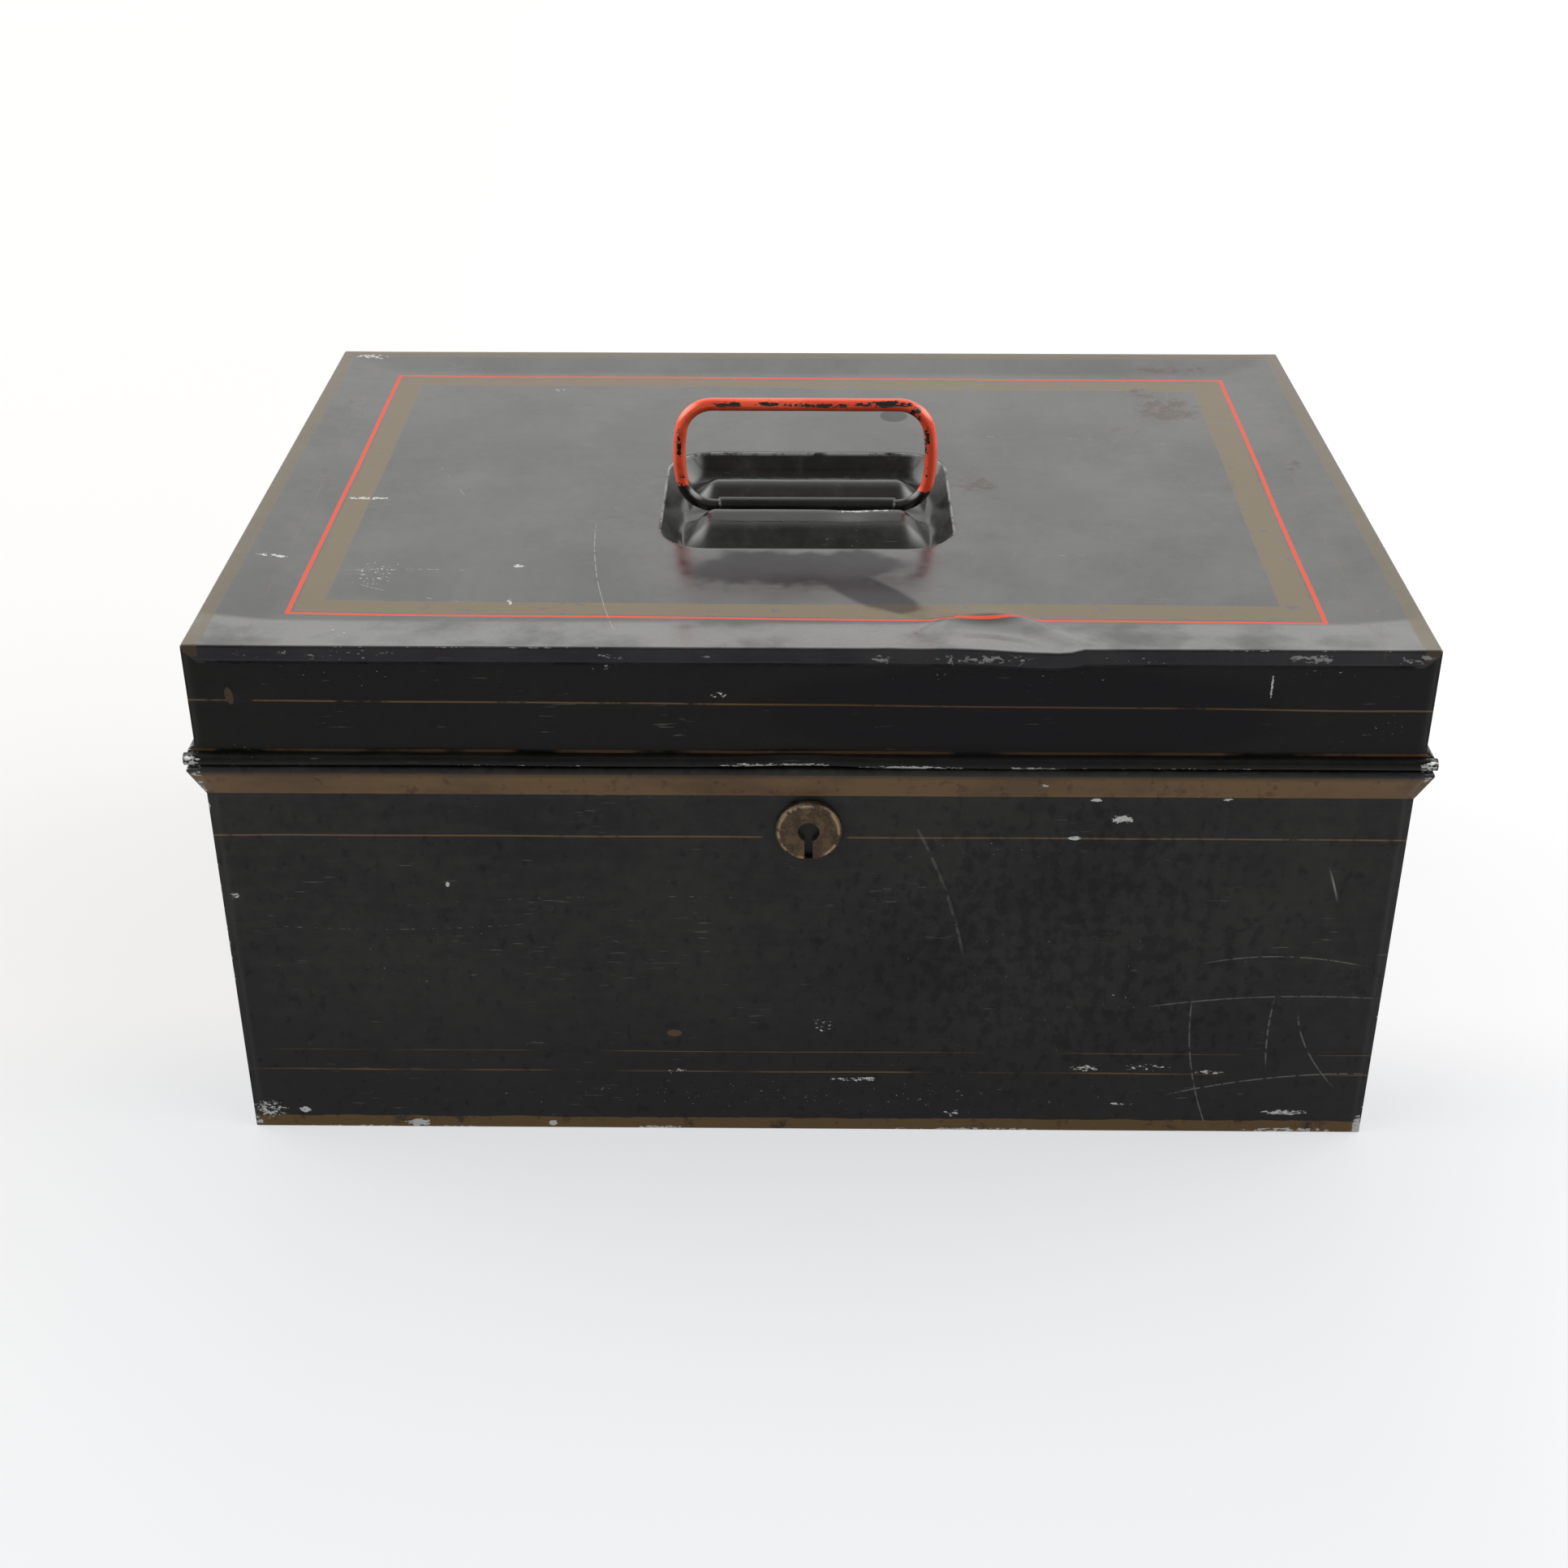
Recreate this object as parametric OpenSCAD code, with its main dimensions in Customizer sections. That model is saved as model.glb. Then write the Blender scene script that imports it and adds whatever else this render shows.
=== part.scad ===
// Japanned sheet-metal deed box with a hinged lid.
// The body is four mitred panels over a recessed bottom, with a swaged collar below the lid.
// The lid has a sunken panel, wired edges and a pressed recess that a wire bail folds into.
// Origin: centre of the base. X is the width, -Y is the front, +Z is up.

/* [Box body] */
// Width over the flat end walls
body_w = 404.4; // [360:0.1:460]
// Depth over the flat front and back walls
body_d = 288; // [260:0.5:330]
// Thickness of the sheet
sheet = 0.6; // [0.5:0.05:0.7]
// Height of the fold where the collar starts
collar_z = 141.5; // [120:0.5:143]
// How far the collar's nose stands out from the wall
collar_out = 4.4; // [4:0.1:4.6]
// Height of the recessed bottom above the foot
bottom_z = 5; // [5:0.5:12]
// Height of the folded foot seam
seam_h = 4.5; // [3:0.5:4.5]

/* [Lid] */
// Height of the lid's rim above the base
rim_z = 197.5; // [190:0.5:215]
// Centre height of the wired edge, which is also the hinge axis
bead_z = 156.3; // [156:0.1:158]
// Outer radius of the wired edge
bead_r = 2.1; // [1.9:0.05:2.3]
// Gap between the lid's skirt and the body's upstand
lid_gap = 0.7; // [0.6:0.05:1]
// Depth of the sunken panel below the rim
panel_drop = 3; // [2:0.25:4]
// Width of the sloping border round the sunken panel
border_w = 25; // [18:1:30]
// Depth of the top sheet's folded edge at the front and back
fold_h = 6.2; // [5:0.2:8]
// Top of the body's upstand inside the lid
upstand_z = 167.5; // [164:0.5:170]

/* [Carrying handle] */
// Distance of the handle's axis in front of the lid's centre
handle_forward = 12.5; // [0:0.5:20]
// Radius of the handle wire
wire_r = 2.35; // [2:0.05:2.5]
// Reach of the handle from its axis to the grip's centre
bail_reach = 39.7; // [38:0.1:40]
// Half width at the middle of the bowed legs
bail_half_w = 46.8; // [44:0.1:47]
// Radius of the bowed legs
bail_bow_r = 60; // [55:1:90]
// Radius of the handle's four corners
bail_corner_r = 12; // [10:0.5:13]
// Half length of the rolled keeper
keeper_half = 33.2; // [30:0.1:33.3]
// How far the wire has slid sideways in its keeper
bail_shift = -0.8; // [-0.8:0.1:0.8]
// Running clearance of the wire in its keeper
keeper_fit = 0.08; // [0.04:0.01:0.1]

/* [Handle recess] */
// Centre of the recess and its keeper to the side of the lid's middle
handle_x = -1; // [-2:0.1:2]
// Width of the recess
dish_w = 106.6; // [106:0.2:110]
// Front-to-back size of the recess
dish_d = 92.6; // [92:0.2:96]
// Corner radius of the recess
dish_r = 18; // [12:1:20]
// Depth of the recess below the panel
dish_depth = 9.5; // [9:0.1:12]
// Distance of each ridge's crest from the axis
ridge_y = 13.6; // [13:0.1:15]
// Height of the crests above the panel
ridge_rise = 1.4; // [0:0.1:1.8]

/* [Lock] */
// Height of the keyhole
lock_z = 128.5; // [126:0.1:129]
// Radius of the round escutcheon
escutcheon_r = 11.2; // [9:0.1:12]
// Thickness of the escutcheon
escutcheon_t = 2.2; // [1:0.1:2.5]
// Radius of the keyhole
keyhole_r = 3.7; // [3:0.1:4]
// Width of the keyhole's slot
keyslot_w = 2.8; // [2:0.1:3]
// Reach of the keyhole's slot below its centre
keyslot_reach = 10.3; // [9:0.1:10.3]
// Turn of the key barrel between unlocked and locked
barrel_turn = 104; // [90:1:104]
// Clock angle of the key slot in the barrel
keyway_angle = 30; // [0:5:60]

/* [Hinges] */
// Distance of each hinge strap from the centre
hinge_x = 110; // [80:1:150]
// Width of each hinge strap
strap_w = 28; // [20:1:36]
// Lower end of the hinge straps
strap_end_z = 108; // [100:1:115]

/* [Hidden] */

$fn = 64;

FRONT = 0;
RIGHT = 1;
BACK = 2;
LEFT = 3;

half_w = body_w / 2;
half_d = body_d / 2;
function half_of(side) = side % 2 == 0 ? half_d : half_w;
function other_of(side) = side % 2 == 0 ? half_w : half_d;

japan = [0.16, 0.17, 0.165];
tinned = [0.62, 0.62, 0.60];
brass = [0.55, 0.43, 0.24];
steel = [0.45, 0.45, 0.44];
handle_red = [0.55, 0.17, 0.12];

// Folded foot seam
seam_slot = 0.7;
seam_in = 2 * sheet + seam_slot;

// Collar
nose_r = 1.3;
nose_c = [collar_out - nose_r, bead_z - 3.7];
ledge_z = nose_c[1] + nose_r;
slant_vec = nose_c - [0, collar_z];
slant_angle = atan2(slant_vec[1], slant_vec[0]) - asin(nose_r / norm(slant_vec));
slant_len = sqrt(pow(norm(slant_vec), 2) - nose_r * nose_r);
slant_dir = [cos(slant_angle), sin(slant_angle)];
slant_in = sheet * [-sin(slant_angle), cos(slant_angle)];
slant_top = [0, collar_z] + slant_len * slant_dir;
hem_h = 5.5;

// Lap flanges at the corners
lap_w = 8;
lap_z0 = bottom_z + 2;
mitre_reach = 12;

// Lid
skirt_in = lid_gap;
skirt_out = lid_gap + sheet;
bead_u = skirt_in + bead_r;
bead_bore_r = bead_r - sheet;
edge_wire_r = bead_bore_r - 0.05;
panel_z = rim_z - panel_drop;
top_half_w = half_w + skirt_in - 0.05;
top_half_d = half_d + skirt_out + 0.05 + sheet;
skirt_w = body_w + 2 * skirt_out;
skirt_top = rim_z - 0.85;
bead_len = body_w + 2 * (skirt_in + 2 * bead_r);
side_run_len = body_d + 2 * skirt_in;
inner_fold_h = 6;
corner_tab_w = 10;
corner_tab_z = upstand_z + 1.5;

// Hinge
hinge_y = half_d + bead_u;
strap_gap = 0.4;
strap_clear_z = 3.6;
rivet_r = 1.5;
rivet_head_r = 3;
rivet_head_h = 1.1;
rivet_zs = [134, 118];
tail_u = -sheet - 0.1;

// Handle
axis_y = -handle_forward;
axis_z = panel_z - 3;
corner_off = bail_reach / 2 - bail_corner_r;
bow_cx = bail_half_w - bail_bow_r;
corner_cx = bow_cx + sqrt(pow(bail_bow_r - bail_corner_r, 2) - pow(corner_off, 2));
bow_half_angle = asin(corner_off / (bail_bow_r - bail_corner_r));
keeper_r = 3.05;
groove_depth = panel_z - axis_z + keeper_r + 0.05;
groove_half = 3.3;
ridge_edge_y = ridge_y + 9;
ridge_edge_drop = 0.7;
ridge_foot_y = ridge_y + 19.4;
ridge_crest_x = 35.8;
ridge_end_x = 47;
dish_wall = 4;
dish_flange_w = 120;
dish_flange_d = 105;
dish_cells = 34;

// Lock
wall_in_y = -half_d + sheet;
spigot_r = 6;
plate_t = 1;
case_front_y = wall_in_y + plate_t;
case_depth = 9.3;
case_back_y = case_front_y + case_depth;
case_t = 0.8;
case_x = [-19, 13];
case_z = [lock_z - 12.5, lock_z + 18.5];
drum_r = 5.8;
drum_y = [case_front_y + 0.5, case_front_y + 2.8];
drive_r = 3.8;
drive_pin_r = 1;
spindle_r = 1.2;
bolt_y = [drum_y[1] + 0.4, drum_y[1] + 1.9];
bolt_bar_z = [lock_z + 10.5, lock_z + 15.5];
bolt_tip_x = 4;
bolt_tail_x = -14;
yoke_x = [-10, -0.4];
yoke_bottom_z = lock_z + 1.5;
stump_x = [-8.3, -6.3];
stump_z = [lock_z + 6.5, lock_z + 8.5];
lever_t = 0.8;
lever_y = [bolt_y[1] + 0.3, bolt_y[1] + 1.4];
pivot_x = -13;
pivot_z = lock_z + 5.5;
stud_r = 1.5;
lever_bottom_z = lock_z + 3.3;
lever_top_z = lock_z + 11;
lever_tip_x = 3;
staple_x = [6.8, 8.8];
staple_y = [case_front_y + 1.1, case_front_y + 7.9];
staple_bottom_z = lock_z + 7.5;

// Draws a profile (outward, up) along one side of a box, at that side's wall plane
module run(side, length) {
    rotate([0, 0, 90 * side - 90])
        translate([half_of(side), 0, 0])
            rotate([90, 0, 0])
                linear_extrude(height = length, center = true)
                    children();
}

// Keeps only what lies between a side's two 45 degree corner planes
module mitred(side) {
    h = half_of(side);
    o = other_of(side);
    r = mitre_reach;
    intersection() {
        run(side, 2 * (o + r)) children();
        rotate([0, 0, 90 * side - 90])
            translate([0, 0, -1])
                linear_extrude(height = rim_z + 2)
                    polygon([[h - r, r - o], [h + r, -o - r], [h + r, o + r], [h - r, o - r]]);
    }
}

module box_between(a, b) {
    translate([min(a[0], b[0]), min(a[1], b[1]), min(a[2], b[2])])
        cube([abs(b[0] - a[0]), abs(b[1] - a[1]), abs(b[2] - a[2])]);
}

module rect_between(a, b) {
    translate([min(a[0], b[0]), min(a[1], b[1])])
        square([abs(b[0] - a[0]), abs(b[1] - a[1])]);
}

module rounded_rect(w, d, r) {
    square([w, d - 2 * r], center = true);
    square([w - 2 * r, d], center = true);
    for (sx = [-1, 1], sy = [-1, 1])
        translate([sx * (w / 2 - r), sy * (d / 2 - r)])
            circle(r = r);
}

// A rod from y0 to y1 along Y
module rod_y(x, z, y0, y1, r) {
    translate([x, y1, z])
        rotate([90, 0, 0])
            cylinder(h = y1 - y0, r = r);
}

// Wall, foot seam, slanted collar with a rounded nose, ledge, upstand and hem
module body_profile() {
    rect_between([-sheet, 0], [0, collar_z]);
    rect_between([-seam_in, 0], [0, sheet]);
    rect_between([-seam_in, 0], [sheet - seam_in, seam_h]);
    polygon([
        [0, collar_z], slant_top, slant_top + slant_in, [0, collar_z] + slant_in,
        [-sheet, collar_z], [-sheet, collar_z - 1], [0, collar_z - 1]
    ]);
    intersection() {
        translate(nose_c)
            difference() {
                circle(r = nose_r);
                circle(r = nose_r - sheet);
            }
        polygon([
            nose_c, nose_c + 3 * [sin(slant_angle), -cos(slant_angle)],
            nose_c + [4, 4], nose_c + [0, 3]
        ]);
    }
    rect_between([-sheet, ledge_z - sheet], [nose_c[0], ledge_z]);
    rect_between([-sheet, ledge_z - sheet], [0, upstand_z]);
    rect_between([-2 * sheet, upstand_z - hem_h], [0, upstand_z]);
}

module keyhole_cut(hole_r, slot_w, slot_reach, y0, y1) {
    rod_y(0, lock_z, y0, y1, hole_r);
    box_between([-slot_w / 2, y0, lock_z - slot_reach], [slot_w / 2, y1, lock_z]);
}

module body_front() {
    color(japan)
        difference() {
            mitred(FRONT) body_profile();
            keyhole_cut(spigot_r + 0.05, keyslot_w, keyslot_reach, -half_d - 1, wall_in_y + 1);
        }
}

module body_back() {
    color(japan)
        difference() {
            mitred(BACK) body_profile();
            for (sx = [-1, 1]) {
                translate([sx * hinge_x, half_d - sheet / 2, bead_z - bead_r + sheet / 2])
                    cube([strap_w + 0.3, 3 * sheet, sheet + 0.2], center = true);
                for (z = rivet_zs, dx = [-1, 1])
                    rod_y(sx * hinge_x + dx * strap_w / 4, z, half_d - 2, half_d + 1, rivet_r);
            }
        }
}

// An end wall with a lap flange behind the front wall and another behind the back wall
module body_end(side) {
    s = side == RIGHT ? 1 : -1;
    color(japan) {
        mitred(side) body_profile();
        for (sy = [-1, 1])
            box_between(
                [s * (half_w - sheet - lap_w), sy * (half_d - sheet), lap_z0],
                [s * (half_w - sheet / 2), sy * (half_d - 2 * sheet), collar_z - 1]
            );
    }
}

module bottom_plate() {
    inset = sheet + 0.05;
    w = body_w - 2 * inset;
    d = body_d - 2 * inset;
    color(japan)
        difference() {
            translate([-w / 2, -d / 2, sheet + 0.1])
                cube([w, d, bottom_z - 0.1]);
            translate([sheet - w / 2, sheet - d / 2, 0])
                cube([w - 2 * sheet, d - 2 * sheet, bottom_z]);
        }
}

// Sheet strap: eye round the hinge wire, tail in through the upstand and down the back wall
module hinge_strap(sx) {
    x0 = sx * hinge_x - strap_w / 2;
    low = bead_z - bead_r;
    color(japan)
        difference() {
            union() {
                translate([x0, hinge_y, bead_z])
                    rotate([0, 90, 0])
                        cylinder(h = strap_w, r = bead_r);
                box_between(
                    [x0, half_d + tail_u - sheet, low], [x0 + strap_w, hinge_y, low + sheet]
                );
                box_between(
                    [x0, half_d + tail_u - sheet, strap_end_z],
                    [x0 + strap_w, half_d + tail_u, low + sheet]
                );
            }
            translate([x0 - 1, hinge_y, bead_z])
                rotate([0, 90, 0])
                    cylinder(h = strap_w + 2, r = bead_bore_r);
            for (z = rivet_zs, dx = [-1, 1])
                rod_y(sx * hinge_x + dx * strap_w / 4, z, half_d - 4, half_d, rivet_r);
        }
}

module rivet_head() {
    ball_r = (rivet_head_r * rivet_head_r + rivet_head_h * rivet_head_h) / (2 * rivet_head_h);
    intersection() {
        translate([0, 0, rivet_head_h - ball_r])
            sphere(r = ball_r);
        cylinder(h = rivet_head_h + 1, r = rivet_head_r + 1);
    }
}

// Eight round-headed rivets, clinched flat over the straps inside
module hinge_rivets() {
    inner_y = half_d + tail_u - sheet;
    color(japan)
        for (sx = [-1, 1], z = rivet_zs, dx = [-1, 1])
            translate([sx * hinge_x + dx * strap_w / 4, 0, z]) {
                rod_y(0, 0, inner_y - 0.5, half_d, rivet_r - 0.02);
                rod_y(0, 0, inner_y - 0.5, inner_y, rivet_head_r - 0.8);
                translate([0, half_d, 0])
                    rotate([-90, 0, 0])
                        rivet_head();
            }
}

// Round keyhole plate with a bevelled edge and a spigot through the wall
module escutcheon() {
    bevel = 0.6;
    front_y = -half_d - escutcheon_t;
    color(brass)
        difference() {
            union() {
                rod_y(0, lock_z, front_y + bevel, -half_d, escutcheon_r);
                translate([0, front_y + bevel, lock_z])
                    rotate([90, 0, 0])
                        cylinder(h = bevel, r1 = escutcheon_r, r2 = escutcheon_r - bevel);
                rod_y(0, lock_z, -half_d, case_front_y, spigot_r);
            }
            keyhole_cut(keyhole_r, keyslot_w, keyslot_reach, front_y - 1, case_front_y + 1);
        }
}

module lock_plate() {
    margin = 3;
    color(steel)
        difference() {
            box_between(
                [case_x[0] - margin, wall_in_y, case_z[0] - margin],
                [case_x[1] + margin, case_front_y, lock_z + 11.5]
            );
            keyhole_cut(spigot_r + 0.05, keyslot_w, keyslot_reach, wall_in_y - 1, case_front_y + 1);
        }
}

// Pressed cover over the works, open to the lock plate, slotted on top for the staple
module lock_case() {
    color(steel)
        difference() {
            box_between([case_x[0], case_front_y, case_z[0]], [case_x[1], case_back_y, case_z[1]]);
            box_between(
                [case_x[0] + case_t, case_front_y - 1, case_z[0] + case_t],
                [case_x[1] - case_t, case_back_y - case_t, case_z[1] - case_t]
            );
            box_between(
                [staple_x[0] - 0.8, case_front_y - 1, case_z[1] - 2 * case_t],
                [staple_x[1] + 0.8, case_back_y - case_t, case_z[1] + 1]
            );
            rod_y(0, lock_z, case_back_y - 2, case_back_y + 1, spindle_r + 0.05);
            rod_y(pivot_x, pivot_z, case_back_y - 2, case_back_y + 1, stud_r - 0.4);
        }
}

// Stud that the levers turn on, shouldered and riveted into the case
module lever_stud() {
    color(steel) {
        rod_y(pivot_x, pivot_z, case_front_y, case_back_y - case_t, stud_r);
        rod_y(pivot_x, pivot_z, case_back_y - case_t, case_back_y + 0.3, stud_r - 0.4);
    }
}

// Top sheet: four sloping borders, sunken panel with the recess opening, folded edges
module lid_top() {
    in_w = top_half_w - border_w;
    in_d = top_half_d - border_w;
    color(japan)
        difference() {
            union() {
                for (side = [FRONT, RIGHT, BACK, LEFT])
                    top_border(side);
                translate([-in_w, -in_d, panel_z - sheet])
                    cube([2 * in_w, 2 * in_d, sheet]);
                for (side = [FRONT, BACK])
                    front_fold(side);
                for (side = [RIGHT, LEFT])
                    run(side, body_d - 10)
                        rect_between([skirt_in - 0.05, rim_z - inner_fold_h],
                                     [skirt_in - 0.05 - sheet, rim_z - sheet]);
            }
            translate([handle_x, axis_y, panel_z - 2])
                linear_extrude(height = 4)
                    rounded_rect(dish_w, dish_d, dish_r);
        }
}

// One sloping border, cut at the 45 degree hips
module top_border(side) {
    h = side % 2 == 0 ? top_half_d : top_half_w;
    o = side % 2 == 0 ? top_half_w : top_half_d;
    rotate([0, 0, 90 * side - 90])
        intersection() {
            rotate([90, 0, 0])
                linear_extrude(height = 2 * o, center = true)
                    polygon([
                        [h, rim_z], [h - border_w, panel_z], [h - border_w, panel_z - sheet],
                        [h, rim_z - sheet]
                    ]);
            translate([0, 0, panel_z - 5])
                linear_extrude(height = 10)
                    polygon([
                        [h, -o], [h, o], [h - border_w, o - border_w], [h - border_w, border_w - o]
                    ]);
        }
}

// Folded edge outside the front or back skirt, with slanted ends
module front_fold(side) {
    o = half_w + skirt_out;
    rotate([0, 0, 90 * side - 90])
        translate([top_half_d, 0, 0])
            rotate([0, -90, 0])
                linear_extrude(height = sheet)
                    polygon([
                        [rim_z, -top_half_w], [rim_z, top_half_w], [rim_z - 1, o],
                        [rim_z - 2, o], [rim_z - fold_h, o - 4], [rim_z - fold_h, 4 - o],
                        [rim_z - 2, -o], [rim_z - 1, -o]
                    ]);
}

// Height of the recess's upper face above the panel plane, about the handle's axis
function ramp(t) = let(c = max(0, min(1, t))) c * c * (3 - 2 * c);
function edge_distance(x, y) =
    let(
        qx = abs(x) - dish_w / 2 + dish_r, qy = abs(y) - dish_d / 2 + dish_r,
        outside = norm([max(qx, 0), max(qy, 0)]), inside = min(max(qx, qy), 0)
    ) dish_r - outside - inside;
function ridge_height(y) = lookup(abs(y), [
    [groove_half, -groove_depth], [ridge_y - 1, ridge_rise - 0.4], [ridge_y + 1, ridge_rise],
    [ridge_edge_y, -ridge_edge_drop], [ridge_foot_y, -dish_depth]
]);
function ridge_share(x) = lookup(abs(x), [[ridge_crest_x, 1], [ridge_end_x, 0]]);
function dish_height(x, y) =
    let(
        lip = -sheet - 0.05,
        bowl = lip - (dish_depth + lip) * ramp(edge_distance(x, y) / dish_wall)
    ) bowl + (ridge_height(y) + dish_depth) * ridge_share(x);

// Pressed recess: two cross ridges with a groove between them for the keeper
module handle_dish() {
    n = dish_cells;
    row = n + 1;
    xs = [for (i = [0:n]) dish_flange_w * (i / n - 0.5)];
    ys = [for (j = [0:n]) dish_flange_d * (j / n - 0.5)];
    top = [for (j = [0:n], i = [0:n]) [xs[i], ys[j], dish_height(xs[i], ys[j])]];
    under = [for (p = top) p - [0, 0, sheet]];
    m = row * row;
    function at(i, j) = j * row + i;
    faces = concat(
        [for (j = [0:n - 1], i = [0:n - 1]) [at(i, j), at(i, j + 1), at(i + 1, j + 1)]],
        [for (j = [0:n - 1], i = [0:n - 1]) [at(i, j), at(i + 1, j + 1), at(i + 1, j)]],
        [for (j = [0:n - 1], i = [0:n - 1]) [m + at(i, j), m + at(i + 1, j + 1), m + at(i, j + 1)]],
        [for (j = [0:n - 1], i = [0:n - 1]) [m + at(i, j), m + at(i + 1, j), m + at(i + 1, j + 1)]],
        [for (i = [0:n - 1]) [at(i, 0), at(i + 1, 0), m + at(i + 1, 0), m + at(i, 0)]],
        [for (i = [0:n - 1]) [at(i + 1, n), at(i, n), m + at(i, n), m + at(i + 1, n)]],
        [for (j = [0:n - 1]) [at(0, j + 1), at(0, j), m + at(0, j), m + at(0, j + 1)]],
        [for (j = [0:n - 1]) [at(n, j), at(n, j + 1), m + at(n, j + 1), m + at(n, j)]]
    );
    color(japan)
        translate([handle_x, axis_y, panel_z])
            polyhedron(points = concat(top, under), faces = faces, convexity = 6);
}

// Skirt with its lower edge rolled round the wire
module rim_profile() {
    rect_between([skirt_in, bead_z], [skirt_out, skirt_top]);
    translate([bead_u, bead_z])
        difference() {
            circle(r = bead_r);
            circle(r = bead_bore_r);
        }
}

// Front or back rim: the rolled edge runs past the skirt's ends to cover the side rolls
module long_rim(side) {
    intersection() {
        run(side, bead_len) rim_profile();
        union() {
            run(side, skirt_w) rect_between([0, bead_z], [10, rim_z]);
            run(side, bead_len) rect_between([0, bead_z - 5], [10, bead_z + bead_r]);
        }
    }
}

module lid_front_rim() {
    color(japan) long_rim(FRONT);
}

// Back rim, notched where the hinge straps take hold of the wire
module lid_back_rim() {
    color(japan)
        difference() {
            long_rim(BACK);
            for (sx = [-1, 1])
                translate([sx * hinge_x, half_d + bead_u, bead_z])
                    cube([strap_w + 2 * strap_gap, 3 * bead_r, 2 * strap_clear_z], center = true);
        }
}

// Side rim with tabs behind the front and back skirts
module side_rim(side) {
    s = side == RIGHT ? 1 : -1;
    y_in = half_d + skirt_in;
    color(japan) {
        run(side, side_run_len) rim_profile();
        for (sy = [-1, 1])
            box_between(
                [s * (half_w + skirt_in - corner_tab_w), sy * y_in, corner_tab_z],
                [s * (half_w + skirt_in + sheet / 2), sy * (y_in - sheet), rim_z - 8]
            );
    }
}

module edge_wire(side, length) {
    color(tinned)
        run(side, length)
            translate([bead_u, bead_z])
                circle(r = edge_wire_r);
}

// Rolled tube in the groove, with a flat foot soldered down
module handle_keeper() {
    foot_w = 6.4;
    color(japan)
        difference() {
            union() {
                translate([handle_x - keeper_half, axis_y, axis_z])
                    rotate([0, 90, 0])
                        cylinder(h = 2 * keeper_half, r = keeper_r);
                translate([handle_x - keeper_half, axis_y - foot_w / 2, axis_z - keeper_r - 0.03])
                    cube([2 * keeper_half, foot_w, sheet]);
            }
            translate([handle_x - keeper_half - 1, axis_y, axis_z])
                rotate([0, 90, 0])
                    cylinder(h = 2 * keeper_half + 2, r = wire_r + keeper_fit);
        }
}

// Plate inside the lid's front with a tab that hangs into the lock
module lock_staple() {
    plate_y = -half_d - skirt_in;
    arm_z = upstand_z + 1.2;
    eye_y = [bolt_y[0] - 0.8, bolt_y[1] + 0.9];
    color(steel)
        difference() {
            union() {
                box_between([-7, plate_y, arm_z], [19, plate_y + 0.8, rim_z - 10]);
                box_between([staple_x[0], plate_y, arm_z], [staple_x[1], staple_y[1], arm_z + 5]);
                box_between([staple_x[0], staple_y[0], staple_bottom_z],
                            [staple_x[1], staple_y[1], arm_z + 5]);
            }
            box_between([staple_x[0] - 1, eye_y[0], bolt_bar_z[0] - 0.6],
                        [staple_x[1] + 1, eye_y[1], bolt_bar_z[1] + 0.6]);
        }
}

// Rings [x, z, direction of the outer side] along one arc of the wire's centreline
function arc_rings(centre, r, from, to, count) = [
    for (k = [1:count])
        let(a = from + (to - from) * k / count) [centre[0] + r * cos(a), centre[1] + r * sin(a), a]
];

// Closed wire loop: the straight bar in the keeper is a true round, the rest is swept
module bail_handle() {
    overlap = 1;
    top_z = bail_reach - bail_corner_r;
    mid_z = bail_reach / 2;
    b = bow_half_angle;
    sides = 20;
    rings = concat(
        [[corner_cx - overlap, 0, -90], [corner_cx, 0, -90]],
        arc_rings([corner_cx, bail_corner_r], bail_corner_r, -90, -b, 8),
        arc_rings([bow_cx, mid_z], bail_bow_r, -b, b, 5),
        arc_rings([corner_cx, top_z], bail_corner_r, b, 90, 8),
        [[-corner_cx, bail_reach, 90]],
        arc_rings([-corner_cx, top_z], bail_corner_r, 90, 180 - b, 8),
        arc_rings([-bow_cx, mid_z], bail_bow_r, 180 - b, 180 + b, 5),
        arc_rings([-corner_cx, bail_corner_r], bail_corner_r, 180 + b, 270, 8),
        [[overlap - corner_cx, 0, 270]]
    );
    r = wire_r - 0.02;
    last = len(rings) - 1;
    points = [
        for (q = rings, j = [0:sides - 1])
            let(t = 360 * j / sides)
            [q[0] + r * cos(t) * cos(q[2]), r * sin(t), q[1] + r * cos(t) * sin(q[2])]
    ];
    function at(i, j) = i * sides + j % sides;
    faces = concat(
        [for (i = [0:last - 1], j = [0:sides - 1]) [at(i, j), at(i + 1, j + 1), at(i, j + 1)]],
        [for (i = [0:last - 1], j = [0:sides - 1]) [at(i, j), at(i + 1, j), at(i + 1, j + 1)]],
        [[for (j = [0:sides - 1]) at(0, j)]],
        [[for (j = [0:sides - 1]) at(last, sides - 1 - j)]]
    );
    color(handle_red)
        translate([handle_x + bail_shift, axis_y, axis_z]) {
            translate([-corner_cx, 0, 0])
                rotate([0, 90, 0])
                    cylinder(h = 2 * corner_cx, r = wire_r);
            polyhedron(points = points, faces = faces, convexity = 6);
        }
}

// Drum with a key slot, a spindle into the case and a pin that drives the bolt
module lock_barrel() {
    slot_w = 2.4;
    slot_depth = 1.6;
    start = -barrel_turn / 2;
    color(brass)
        difference() {
            union() {
                rod_y(0, lock_z, drum_y[0], drum_y[1], drum_r);
                rod_y(0, lock_z, drum_y[1], case_back_y + 0.4, spindle_r);
                rod_y(drive_r * sin(start), lock_z + drive_r * cos(start), drum_y[1],
                      bolt_y[1] - 0.1, drive_pin_r);
            }
            translate([0, drum_y[0], lock_z])
                rotate([0, keyway_angle, 0])
                    translate([-slot_w / 2, -1, -slot_w / 2])
                        cube([slot_w, slot_depth + 1, drum_r + slot_w]);
        }
}

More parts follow.
